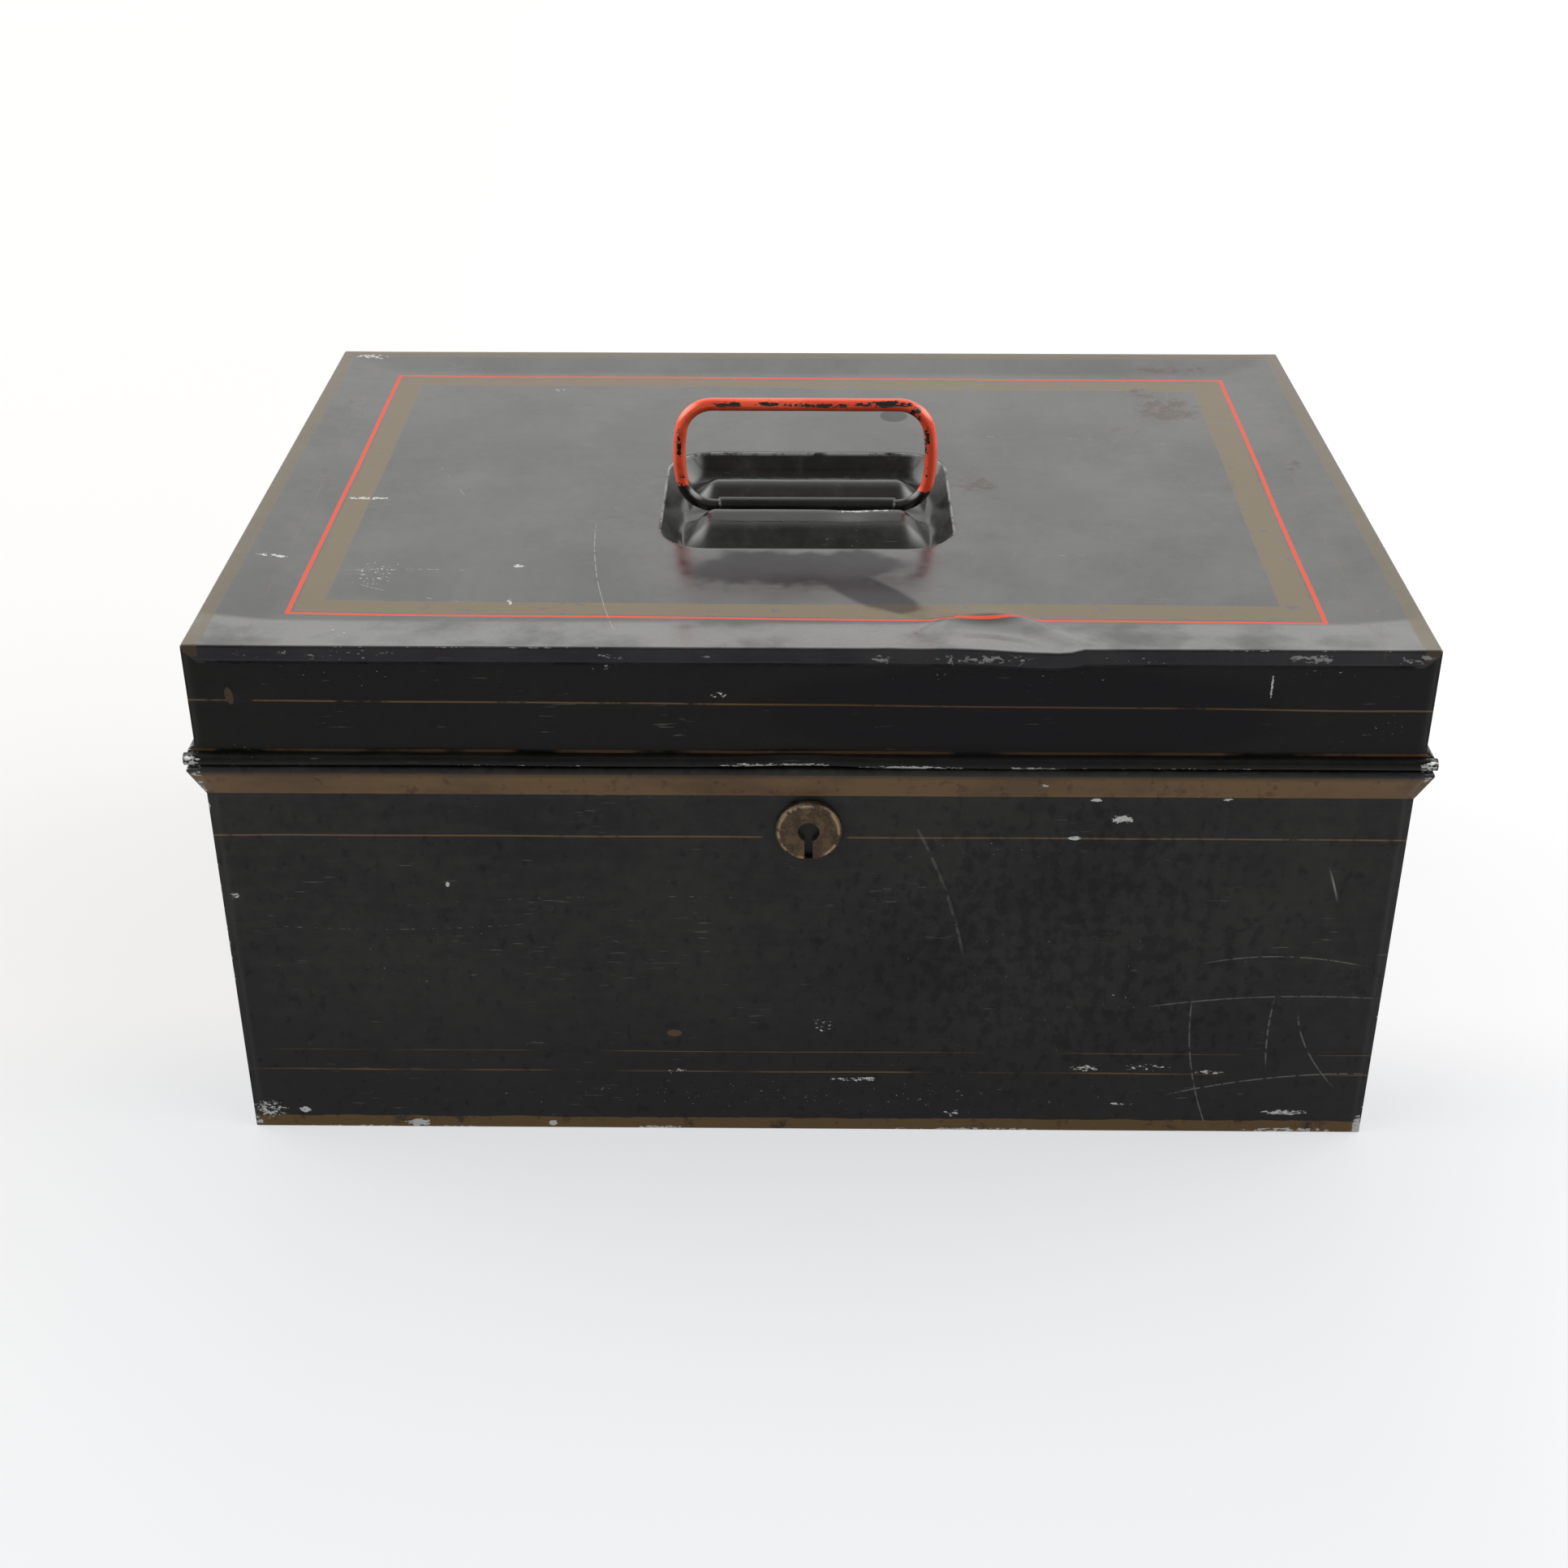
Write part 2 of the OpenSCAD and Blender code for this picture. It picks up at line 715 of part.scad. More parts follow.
// Sliding bolt: bar, yoke with a slot for the drive pin, and a stump in the levers' gates
module lock_bolt() {
    start_x = drive_r * sin(-barrel_turn / 2);
    pin_slot = 2 * drive_pin_r + 0.7;
    color(brass) {
        difference() {
            union() {
                box_between([bolt_tail_x, bolt_y[0], bolt_bar_z[0]],
                            [bolt_tip_x, bolt_y[1], bolt_bar_z[1]]);
                box_between([yoke_x[0], bolt_y[0], yoke_bottom_z],
                            [yoke_x[1], bolt_y[1], bolt_bar_z[0]]);
            }
            box_between([start_x - pin_slot / 2, bolt_y[0] - 1, yoke_bottom_z - 1],
                        [start_x + pin_slot / 2, bolt_y[1] + 1, lock_z + drive_r + 1.6]);
        }
        box_between([stump_x[0], bolt_y[1], stump_z[0]],
                    [stump_x[1], lever_y[1] + lever_t + 0.3, stump_z[1]]);
    }
}

// Flat lever with a pivot hole and a gate for the bolt's stump
module lever(y0) {
    color(brass)
        difference() {
            union() {
                box_between([pivot_x, y0, lever_bottom_z],
                            [lever_tip_x, y0 + lever_t, lever_top_z]);
                rod_y(pivot_x, (lever_bottom_z + lever_top_z) / 2, y0, y0 + lever_t,
                      (lever_top_z - lever_bottom_z) / 2);
            }
            rod_y(pivot_x, pivot_z, y0 - 1, y0 + lever_t + 1, stud_r + 0.05);
            box_between([stump_x[0] - 1.3, y0 - 1, stump_z[0] - 1.4],
                        [stump_x[1] + 7.1, y0 + lever_t + 1, stump_z[1] + 1.4]);
        }
}

// Leaf springs on the levers, bearing up against the case
module lever_springs() {
    leaf = 0.35;
    tip = [lever_tip_x - 0.8, case_z[1] - case_t - 1.6];
    color(steel)
        for (y0 = lever_y)
            translate([0, y0 + lever_t - 0.1, 0])
                rotate([90, 0, 0])
                    linear_extrude(height = lever_t - 0.2)
                        polygon([
                            [pivot_x - 1, lever_top_z], [pivot_x + 2, lever_top_z], tip,
                            tip + [-0.1, leaf], [pivot_x - 1, lever_top_z + leaf]
                        ]);
}

body_front();
body_back();
body_end(LEFT);  // body_left_end
body_end(RIGHT);  // body_right_end
bottom_plate();
hinge_strap(-1);  // hinge_strap_left
hinge_strap(1);  // hinge_strap_right
hinge_rivets();
escutcheon();
lock_plate();
lock_case();
lever_stud();
lid_top();
handle_dish();
lid_front_rim();
lid_back_rim();
side_rim(LEFT);  // lid_left_rim
side_rim(RIGHT);  // lid_right_rim
edge_wire(FRONT, bead_len);  // lid_wire_front
edge_wire(LEFT, side_run_len);  // lid_wire_left
edge_wire(RIGHT, side_run_len);  // lid_wire_right
edge_wire(BACK, bead_len);  // hinge_wire
handle_keeper();
lock_staple();
bail_handle();
lock_barrel();
lock_bolt();
lever(lever_y[0]);  // lever_front
lever(lever_y[1]);  // lever_rear
lever_springs();
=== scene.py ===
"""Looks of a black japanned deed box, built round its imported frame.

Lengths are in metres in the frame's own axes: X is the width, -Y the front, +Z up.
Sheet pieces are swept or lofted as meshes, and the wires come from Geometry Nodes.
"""
import math

import bmesh
import bpy
import numpy as np
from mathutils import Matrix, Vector, noise


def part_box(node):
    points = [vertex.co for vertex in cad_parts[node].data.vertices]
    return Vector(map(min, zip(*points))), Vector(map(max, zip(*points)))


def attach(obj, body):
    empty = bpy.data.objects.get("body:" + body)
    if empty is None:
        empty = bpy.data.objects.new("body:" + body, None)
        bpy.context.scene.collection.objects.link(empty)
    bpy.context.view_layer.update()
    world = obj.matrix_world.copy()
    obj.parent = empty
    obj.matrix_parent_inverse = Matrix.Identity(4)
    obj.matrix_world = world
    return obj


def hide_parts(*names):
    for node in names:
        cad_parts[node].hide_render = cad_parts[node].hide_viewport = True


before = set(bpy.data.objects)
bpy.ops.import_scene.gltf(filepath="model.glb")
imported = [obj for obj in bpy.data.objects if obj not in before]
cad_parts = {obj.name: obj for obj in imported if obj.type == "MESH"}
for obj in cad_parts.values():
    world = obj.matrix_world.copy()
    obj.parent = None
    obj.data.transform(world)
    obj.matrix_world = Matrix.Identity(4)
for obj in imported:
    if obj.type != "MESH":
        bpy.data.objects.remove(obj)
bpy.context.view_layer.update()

MM = 0.001

# ---------------------------------------------------------------- sizes taken from the frame
LID_LOW, LID_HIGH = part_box("lid_top")
BODY_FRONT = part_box("body_front")
BODY_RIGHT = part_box("body_right_end")
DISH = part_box("handle_dish")
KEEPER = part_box("handle_keeper")
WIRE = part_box("lid_wire_front")
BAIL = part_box("bail_handle")
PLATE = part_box("escutcheon")

PLATE_Z = (PLATE[0].z + PLATE[1].z) / 2
RIM_Z = LID_HIGH.z
BEAD_R = 2.1 * MM
SHEET = 0.6 * MM
BEAD_Z = (WIRE[0].z + WIRE[1].z) / 2
COLLAR_OUT = 4.4 * MM
HALF_W = BODY_RIGHT[1].x - COLLAR_OUT
HALF_D = -BODY_FRONT[0].y - COLLAR_OUT
LID_GAP = 0.7 * MM
SKIRT_OUT = LID_GAP + SHEET
PANEL_DROP = 3 * MM
PANEL_Z = RIM_Z - PANEL_DROP
BORDER_W = 25 * MM
AXIS_Z = PANEL_Z - 3 * MM
AXIS_X = (DISH[0].x + DISH[1].x) / 2
AXIS_Y = (DISH[0].y + DISH[1].y) / 2
WIRE_R = 2.35 * MM
DISH_HALF_W = 53.3 * MM
DISH_HALF_D = 46.3 * MM
DISH_R = 18 * MM
DISH_DEPTH = 9.5 * MM

# ---------------------------------------------------------------- camera and stage

CAMERA_AT = (-0.002, -0.780, 0.5105)
CAMERA_PITCH = 29.81
CAMERA_YAW = 0.57
LENS = 50.37
SENSOR = 36.0


def make_camera():
    data = bpy.data.cameras.new("camera")
    data.lens = LENS
    data.sensor_width = SENSOR
    data.clip_start = 0.01
    camera = bpy.data.objects.new("camera", data)
    camera.location = CAMERA_AT
    camera.rotation_euler = (math.radians(90 - CAMERA_PITCH), 0, math.radians(CAMERA_YAW))
    bpy.context.scene.collection.objects.link(camera)
    bpy.context.scene.camera = camera
    bpy.context.scene.view_settings.view_transform = "Standard"


make_camera()


# ---------------------------------------------------------------- shader helpers

def add_node(tree, kind, settings, sockets):
    """A node with its settings made first; sockets, by name or number, take values or links."""
    made = tree.nodes.new(kind)
    for key, value in settings.items():
        setattr(made, key, value)
    for key, value in sockets.items():
        if isinstance(value, Value):
            value = value.socket
        if isinstance(value, bpy.types.NodeSocket):
            tree.links.new(value, made.inputs[key])
        else:
            made.inputs[key].default_value = value
    return made


def rgba(colour):
    """A colour socket as it is, or a constant colour with its alpha."""
    return colour if isinstance(colour, bpy.types.NodeSocket) else (*colour, 1.0)


class Value:
    """A number socket that takes part in Python expressions."""

    def __init__(self, tree, socket):
        self.tree = tree
        self.socket = socket

    def math(self, operation, *others):
        node = add_node(self.tree, "ShaderNodeMath", {"operation": operation},
                        dict(enumerate((self,) + others)))
        return Value(self.tree, node.outputs[0])

    def flipped(self, operation, first):
        node = add_node(self.tree, "ShaderNodeMath", {"operation": operation}, {0: first, 1: self})
        return Value(self.tree, node.outputs[0])

    def __add__(self, other):
        return self.math("ADD", other)

    def __sub__(self, other):
        return self.math("SUBTRACT", other)

    def __mul__(self, other):
        return self.math("MULTIPLY", other)

    def __truediv__(self, other):
        return self.math("DIVIDE", other)

    def __radd__(self, other):
        return self.math("ADD", other)

    def __rmul__(self, other):
        return self.math("MULTIPLY", other)

    def __rsub__(self, other):
        return self.flipped("SUBTRACT", other)

    def __neg__(self):
        return self.math("MULTIPLY", -1.0)

    def __abs__(self):
        return self.math("ABSOLUTE")

    def __pow__(self, other):
        return self.math("POWER", other)

    def over(self, other):
        return self.math("MAXIMUM", other)

    def under(self, other):
        return self.math("MINIMUM", other)

    def step(self, low, high):
        """0 below low, 1 above high, smooth between."""
        rising = low < high
        node = add_node(self.tree, "ShaderNodeMapRange", {"interpolation_type": "SMOOTHSTEP"},
                        {"Value": self, "From Min": min(low, high), "From Max": max(low, high),
                         "To Min": 0.0 if rising else 1.0, "To Max": 1.0 if rising else 0.0})
        return Value(self.tree, node.outputs["Result"])

    def near(self, centre, half, soft):
        """1 within half of centre, fading out over soft."""
        return abs(self - centre).step(half + soft, half - soft)


class Finish:
    """A material under construction: one Principled shader and the nodes that feed it."""

    def __init__(self, name, **constants):
        self.material = bpy.data.materials.new(name)
        self.material.use_nodes = True
        self.tree = self.material.node_tree
        self.tree.nodes.clear()
        self.shader = self.node("ShaderNodeBsdfPrincipled", **constants)
        self.output = self.node("ShaderNodeOutputMaterial", Surface=self.shader.outputs[0])
        place = self.node("ShaderNodeTexCoord")
        self.place = place.outputs["Object"]
        split = self.node("ShaderNodeSeparateXYZ", Vector=self.place)
        self.x = Value(self.tree, split.outputs[0])
        self.y = Value(self.tree, split.outputs[1])
        self.z = Value(self.tree, split.outputs[2])

    def node(self, kind, settings=None, **inputs):
        sockets = {key.replace("_", " "): value for key, value in inputs.items()}
        return add_node(self.tree, kind, settings or {}, sockets)

    def moved(self, offset=(0, 0, 0), scale=(1, 1, 1), turn=(0, 0, 0)):
        node = self.node("ShaderNodeMapping", Vector=self.place, Location=offset, Scale=scale,
                         Rotation=turn)
        return node.outputs[0]

    def noise(self, size, detail=3.0, rough=0.55, offset=(0, 0, 0), stretch=(1, 1, 1),
              turn=(0, 0, 0)):
        """Smooth random values about 0.5, with features of the given size."""
        spot = self.moved(offset, stretch, turn)
        node = self.node("ShaderNodeTexNoise", {"noise_dimensions": "3D"}, Vector=spot,
                         Scale=1.0 / size, Detail=detail, Roughness=rough)
        return Value(self.tree, node.outputs[0])

    def attribute(self, name):
        node = self.node("ShaderNodeAttribute", {"attribute_name": name})
        return Value(self.tree, node.outputs["Fac"])

    def number(self, value):
        node = self.node("ShaderNodeValue")
        node.outputs[0].default_value = value
        return Value(self.tree, node.outputs[0])

    def blend(self, below, above, mask):
        """Colour below, covered by colour above where mask is 1."""
        node = add_node(self.tree, "ShaderNodeMix", {"data_type": "RGBA"},
                        {0: mask, 6: rgba(below), 7: rgba(above)})
        return node.outputs[2]

    def blend_number(self, below, above, mask):
        return mask * (above - below) + below

    def use(self, **inputs):
        for key, value in inputs.items():
            socket = value.socket if isinstance(value, Value) else value
            self.tree.links.new(socket, self.shader.inputs[key.replace("_", " ")])

    def cover(self, mask, colour):
        """Lay a dull dark film over the finish where mask is 1."""
        film = self.node("ShaderNodeBsdfDiffuse", Color=rgba(colour))
        mixed = add_node(self.tree, "ShaderNodeMixShader", {},
                         {0: mask, 1: self.shader.outputs[0], 2: film.outputs[0]})
        self.tree.links.new(mixed.outputs[0], self.output.inputs[0])

    def bump(self, height, strength, distance):
        node = self.node("ShaderNodeBump", Height=height, Strength=strength, Distance=distance)
        self.tree.links.new(node.outputs[0], self.shader.inputs["Normal"])


# ---------------------------------------------------------------- mesh helpers

def make_object(name, points, faces, material, body, replaces, flags):
    """A mesh piece in its place, riding on a CAD body. flags is 1 on the sheet's outer side."""
    mesh = bpy.data.meshes.new(name)
    mesh.from_pydata([tuple(p) for p in points], [], faces)
    mesh.validate()
    mesh.update()
    mesh.polygons.foreach_set("use_smooth", [True] * len(mesh.polygons))
    layer = mesh.attributes.new("outer", "FLOAT", "POINT")
    layer.data.foreach_set("value", np.asarray(flags, dtype=np.float32))
    piece = bpy.data.objects.new(name, mesh)
    bpy.context.scene.collection.objects.link(piece)
    mesh.materials.append(material)
    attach(piece, body)
    for node in replaces:
        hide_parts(node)
    return piece


def arc(centre, radius, start, end, count):
    """Points on an arc, in degrees, both ends included."""
    angles = np.radians(np.linspace(start, end, count + 1))
    return [(centre[0] + radius * math.cos(a), centre[1] + radius * math.sin(a)) for a in angles]


def straight(start, end, step):
    """Points from start to end, no further apart than step, without the last one."""
    length = math.dist(start, end)
    count = max(1, math.ceil(length / step))
    first = np.array(start)
    return [tuple(first + (np.array(end) - first) * k / count) for k in range(count)]


def thicken(path, half):
    """Closed outline round an open path, and 1 for the points on its left side."""
    p = np.array(path)
    d = np.gradient(p, axis=0)
    d /= np.linalg.norm(d, axis=1)[:, None]
    side = np.stack([-d[:, 1], d[:, 0]], axis=1) * half
    outline = np.concatenate([p + side, (p - side)[::-1]])
    flags = np.concatenate([np.ones(len(p)), np.zeros(len(p))])
    return outline, flags


def sweep(outline, stations, place):
    """Closed outline carried along stations; place(station, outline) gives the 3D points."""
    rings = [place(s, outline) for s in stations]
    n = len(outline)
    points = np.concatenate(rings)
    faces = []
    for i in range(len(stations) - 1):
        for j in range(n):
            k = (j + 1) % n
            faces.append((i * n + j, i * n + k, (i + 1) * n + k, (i + 1) * n + j))
    half = n // 2
    last = (len(stations) - 1) * n
    for j in range(half - 1):
        m = n - 1 - j
        faces.append((j, m, m - 1, j + 1))
        faces.append((last + j, last + j + 1, last + m - 1, last + m))
    return points, faces


def two_skins(points, faces, thickness):
    """The surface with a second skin behind it and closed edges, and 1 for the points in front."""
    p = np.array(points)
    count = len(p)
    f = np.array(faces)
    normal = np.cross(p[f[:, 2]] - p[f[:, 0]], p[f[:, 3]] - p[f[:, 1]])
    total = np.zeros_like(p)
    for k in range(4):
        np.add.at(total, f[:, k], normal)
    total /= np.linalg.norm(total, axis=1)[:, None]
    edges = {(int(face[k]), int(face[(k + 1) % 4])) for face in f for k in range(4)}
    rims = [(b, a, a + count, b + count) for a, b in edges if (b, a) not in edges]
    behind = [tuple(int(k) + count for k in face[::-1]) for face in f]
    skins = np.concatenate([p, p - total * thickness])
    flags = np.concatenate([np.ones(count), np.zeros(count)])
    return skins, list(faces) + behind + rims, flags


def turned(side, u, along, z):
    """A point u out from the centre of side 0 front, 1 right, 2 back or 3 left."""
    if side == 0:
        return np.stack([along, -u, z], axis=1)
    if side == 1:
        return np.stack([u, along, z], axis=1)
    if side == 2:
        return np.stack([-along, u, z], axis=1)
    return np.stack([-u, -along, z], axis=1)


def ripple(x, y, z, size, seed):
    return noise.noise(Vector((x / size + seed, y / size, z / size)))


def hump(value, centre, width):
    return math.exp(-((value - centre) / width) ** 2)


def ramp(t):
    t = np.clip(t, 0, 1)
    return t * t * (3 - 2 * t)


# ---------------------------------------------------------------- materials

BLACK = (0.0028, 0.0029, 0.0026)
DUST = (0.040, 0.040, 0.037)
TIN = (0.30, 0.305, 0.295)
RUST = (0.044, 0.027, 0.016)
GILT = (0.102, 0.060, 0.027)
# painted shade: the foot band's gilt, darker than GILT, for the floor's contact shadow that the
# foot reflects
SHADED_FOOT_GILT = (0.072, 0.043, 0.016)
FILM = (0.008, 0.006, 0.009)
OLIVE = (0.094, 0.070, 0.036)
RED = (0.42, 0.048, 0.020)
PALE = (0.16, 0.16, 0.155)
ENAMEL_RED = (0.50, 0.048, 0.018)
ENAMEL_ORANGE = (0.62, 0.10, 0.040)
ENAMEL_GRIME = (0.16, 0.02, 0.010)
WIRE_BLACK = (0.006, 0.005, 0.0045)
BRASS_DARK = (0.030, 0.019, 0.011)
BRASS_BROWN = (0.075, 0.047, 0.025)
BRASS_RUB_AND_GLINT = (0.30, 0.21, 0.12)
BRASS_PIT = (0.012, 0.009, 0.007)
VERDIGRIS = (0.055, 0.070, 0.045)
STAIN = (0.06, 0.035, 0.02)


def either(masks):
    total = masks[0]
    for mask in masks[1:]:
        total = total.over(mask)
    return total


def spot(u, v, centre_u, centre_v, half_u, half_v):
    """1 at the middle of an ellipse, falling to 0 at its edge."""
    return (((u - centre_u) / half_u) ** 2.0 + ((v - centre_v) / half_v) ** 2.0).step(1.0, 0.0)


def flecks(f, u, v, spots, seed, size=0.0016, stretch=(0.5, 1, 1)):
    """Ragged flakes crowded round spots, each (u, v, half width, half height, fill)."""
    crowd = either([spot(u, v, *s[:4]) * s[4] for s in spots])
    grain = f.noise(size, 4.0, 0.7, (seed, 0.7 * seed, 0), stretch)
    return (grain + crowd * 0.45).step(0.775, 0.80) * crowd.step(0.0, 0.05)


def stroke(f, along, across, bend, half, keep, seed):
    """A broken scratch. bend is (start, end, centre, offset, curvature) of a shallow arc."""
    start, end, centre, offset, curve = bend
    off_line = abs(across - ((along - centre) ** 2.0) * curve - offset)
    span = along.near((start + end) / 2, abs(end - start) / 2, 0.004)
    broken = f.noise(0.004, 3.0, 0.7, (seed, 2, 5)).step(keep, keep + 0.10)
    return off_line.step(half * 1.6, half * 0.5) * span * broken


def scratches(f, seed, keep=0.62):
    """Fine short scuffs in a few directions."""
    parts = []
    for k, turn in enumerate((0.2, 1.1, 2.2)):
        grain = f.noise(0.0007, 2.0, 0.5, (seed + 3.1 * k, 0, 0), (0.07, 1, 1),
                        (0.15 * turn, turn, turn))
        gate = f.noise(0.022, 2.0, 0.5, (seed, 7.7 + k, 0)).step(keep, keep + 0.05)
        parts.append(grain.step(0.66, 0.70) * gate)
    return either(parts)


def japan(name, paint=None, edge=None, sheen=0.35, rough_low=0.17, rough_high=0.36, ior=1.42,
          relief=0.10, film=None, haze=1.0):
    """Worn black lacquer. paint(f) gives colour layers, edge(f) a mask where tin shows."""
    f = Finish(name, IOR=ior, Coat_Roughness=0.10, Coat_IOR=1.5)
    cloud = f.noise(0.060, 4.0, 0.6, (1.3, 0, 0))
    mottle = f.noise(0.0050, 4.0, 0.65, (0, 2.1, 0))
    streak = f.noise(0.004, 3.0, 0.6, (0, 0, 3.1), (0.12, 0.5, 1))
    fog = (cloud * 0.45 + mottle * 0.35 + streak * 0.20).step(0.38, 0.64)
    colour = f.blend(BLACK, DUST, fog * 0.20 * haze)
    rough = f.blend_number(rough_low, rough_high, fog)
    metal = f.number(0.0)
    coat = (1.0 - fog * 0.35) * sheen
    for mask, tone, tone_rough, tone_metal in (paint(f) if paint else ()):
        colour = f.blend(colour, tone, mask)
        rough = f.blend_number(rough, tone_rough, mask)
        metal = f.blend_number(metal, tone_metal, mask)
        coat = coat * (1 - mask * 0.8)
    marks = scratches(f, 4.2)
    colour = f.blend(colour, PALE, marks * 0.16)
    bare = f.noise(0.0011, 3.0, 0.7, (8.3, 0, 0)).step(0.785, 0.81)
    if edge:
        bare = bare.over(edge(f))
    colour = f.blend(colour, TIN, bare)
    rough = f.blend_number(rough, 0.45, bare)
    metal = f.blend_number(metal, 0.5, bare)
    f.use(Base_Color=colour, Roughness=rough, Metallic=metal, Coat_Weight=coat * (1 - bare))
    height = f.noise(0.030, 2.0, 0.5, (5, 5, 0)) + mottle * 0.08 - bare * 0.25 - marks * 0.08
    f.bump(height, relief, 0.0010)
    if film:
        f.cover(film(f), FILM)
    return f.material


def worn_edge(f, value, width, seed, amount=0.52):
    """Flakes along an edge: value is the distance from it."""
    close = value.step(width, 0.0)
    ragged = f.noise(0.0018, 4.0, 0.7, (seed, 1, 2), (0.6, 0.6, 1))
    patches = f.noise(0.03, 2.0, 0.5, (seed, 4, 1))
    flaked = (ragged * 0.55 + patches * 0.3 + close * 0.25).step(amount + 0.17, amount + 0.19)
    return flaked * close.step(0.0, 0.2)


def facing_front(f):
    """1 on the front face of the box or lid."""
    return f.y.step(-0.137, -0.140)


def lid_paint(f):
    """Olive-gold bands and red lining on the lid's top.

    The lining runs a little out of square, so front, back and side lean with X or Y. inside is
    the distance in from the lining: the red line lies on it and the broad band just within."""
    wander = f.noise(0.06, 1.0, 0.5, (9, 0, 0)) - 0.5
    x = abs(f.x) + wander * 0.0006
    y = f.y + wander * 0.0006
    front = -0.1177 - 0.0137 * f.x
    back = 0.1200 - 0.006 * f.x
    side = 0.1752 - 0.004 * f.x.step(-0.02, 0.02) * (y * -4.0 + 0.5)
    top = f.z.step(PANEL_Z - 0.001, PANEL_Z - 0.0005) * f.attribute("outer").step(0.4, 0.6)
    inside = (y - front).under(back - y).under(side - x)
    worn = f.noise(0.007, 5.0, 0.7, (3, 3, 3)).step(0.31, 0.45)
    broad = 0.0046 + 0.0011 * f.x.step(-0.05, 0.05)
    band = abs(inside - 0.0016 - broad).math("SUBTRACT", broad).step(0.0004, -0.0004) * top * worn
    corner = inside.step(-0.0009, -0.0006)
    side_line = abs(side - x).step(0.00095, 0.00075) * corner
    past_side = (side - x).step(-0.0009, -0.0006)
    end_line = abs((y - front).under(back - y)).step(0.00080, 0.00060) * past_side
    red_worn = f.noise(0.006, 4.0, 0.7, (1, 6, 3)).step(0.24, 0.36)
    red = side_line.over(end_line) * top * red_worn
    faint_worn = f.noise(0.02, 3.0, 0.6, (2, 6, 3)).step(0.4, 0.6)
    faint = x.near(0.185, 0.0003, 0.0002) * top * faint_worn
    rim = x.step(0.1975, 0.1985).over(y.step(0.1395, 0.1405)) * top * worn
    return ((faint * 0.35, OLIVE, 0.4, 0.5), (rim * 0.6, OLIVE, 0.42, 0.5),
            (band * 0.9, OLIVE, 0.42, 0.4), (red, RED, 0.5, 0.65))


# Patches: (across, along, half width, half height, how thick).
LID_RUST = (
    (0.147, 0.083, 0.019, 0.019, 0.85), (0.139, 0.103, 0.012, 0.009, 0.6),
    (0.0625, 0.0, 0.012, 0.012, 0.7), (0.1496, 0.1298, 0.014, 0.005, 0.8),
    (0.167, 0.130, 0.007, 0.004, 0.8), (0.127, 0.058, 0.008, 0.006, 0.4),
    (0.186, 0.020, 0.006, 0.012, 0.4), (-0.187, 0.080, 0.007, 0.020, 0.3),
)
LID_SPECKS = (
    (-0.132, 0.037, 0.014, 0.012, 0.22), (-0.150, -0.083, 0.015, 0.017, 0.38),
    (-0.166, -0.0145, 0.013, 0.0018, 0.75), (-0.189, -0.0705, 0.009, 0.0016, 0.7),
    (-0.102, -0.0758, 0.003, 0.0022, 0.7), (-0.1017, -0.105, 0.0016, 0.006, 0.5),
    (-0.1058, 0.1048, 0.004, 0.003, 0.5), (-0.190, 0.140, 0.011, 0.004, 0.6),
    (-0.071, -0.120, 0.012, 0.012, 0.22), (0.012, -0.127, 0.030, 0.010, 0.22),
    (0.105, -0.128, 0.020, 0.008, 0.22), (-0.150, 0.130, 0.030, 0.012, 0.25),
    (-0.160, -0.130, 0.040, 0.008, 0.25), (0.190, -0.120, 0.010, 0.020, 0.22),
)
# Scratches: ((start, end, centre, offset, curvature), half width, how much is broken).
LID_LINES = (
    ((-0.145, -0.120, -0.30, 0.180, -6.6), 0.00025, 0.52),
    ((-0.162, -0.120, -0.14, -0.079, -2.0), 0.0002, 0.46),
    ((-0.165, -0.115, -0.10, -0.107, 5.0), 0.00018, 0.5),
    ((0.06, 0.16, 0.05, 0.052, -1.0), 0.00015, 0.55),
    ((-0.02, 0.10, 0.0, 0.088, -0.5), 0.00015, 0.58),
    ((0.04, 0.15, 0.10, -0.065, 1.3), 0.00013, 0.55),
)


def lid_rust(f):
    """Brown stains on the lid's top, broken into small dark spots."""
    crowd = either([spot(f.x, f.y, *s[:4]) * s[4] for s in LID_RUST])
    grain = f.noise(0.0045, 5.0, 0.7, (2, 8, 1))
    return (grain + crowd * 0.30).step(0.60, 0.76) * crowd.step(0.0, 0.2)


def lip_line(f):
    """Worn line round the mouth of the recess."""
    qx = (abs(f.x - AXIS_X) - (DISH_HALF_W - DISH_R)).over(0.0)
    qy = (abs(f.y - AXIS_Y) - (DISH_HALF_D - DISH_R)).over(0.0)
    out = (qx * qx + qy * qy) ** 0.5 - DISH_R
    kept = f.noise(0.008, 4.0, 0.7, (2, 2, 1)).step(0.36, 0.56)
    return out.near(0.0002, 0.0003, 0.0003) * kept


DISH_SPECKS = ((0.020, -0.0265, 0.018, 0.0018, 0.66), (0.0, -0.035, 0.045, 0.020, 0.16),
               (0.0, 0.010, 0.045, 0.012, 0.16))


def dish_layers(f):
    """Dust, the worn mouth and rubbed spots of the recess."""
    wear = flecks(f, f.x, f.y, DISH_SPECKS, 7.1, 0.0009, (0.5, 1, 1))
    dusty = f.noise(0.010, 5.0, 0.7, (3, 1, 5)).step(0.50, 0.72)
    return ((dusty * 0.05, PALE, 0.5, 0.0), (lip_line(f) * 0.6, TIN, 0.4, 0.0),
            (wear, TIN, 0.45, 0.2))


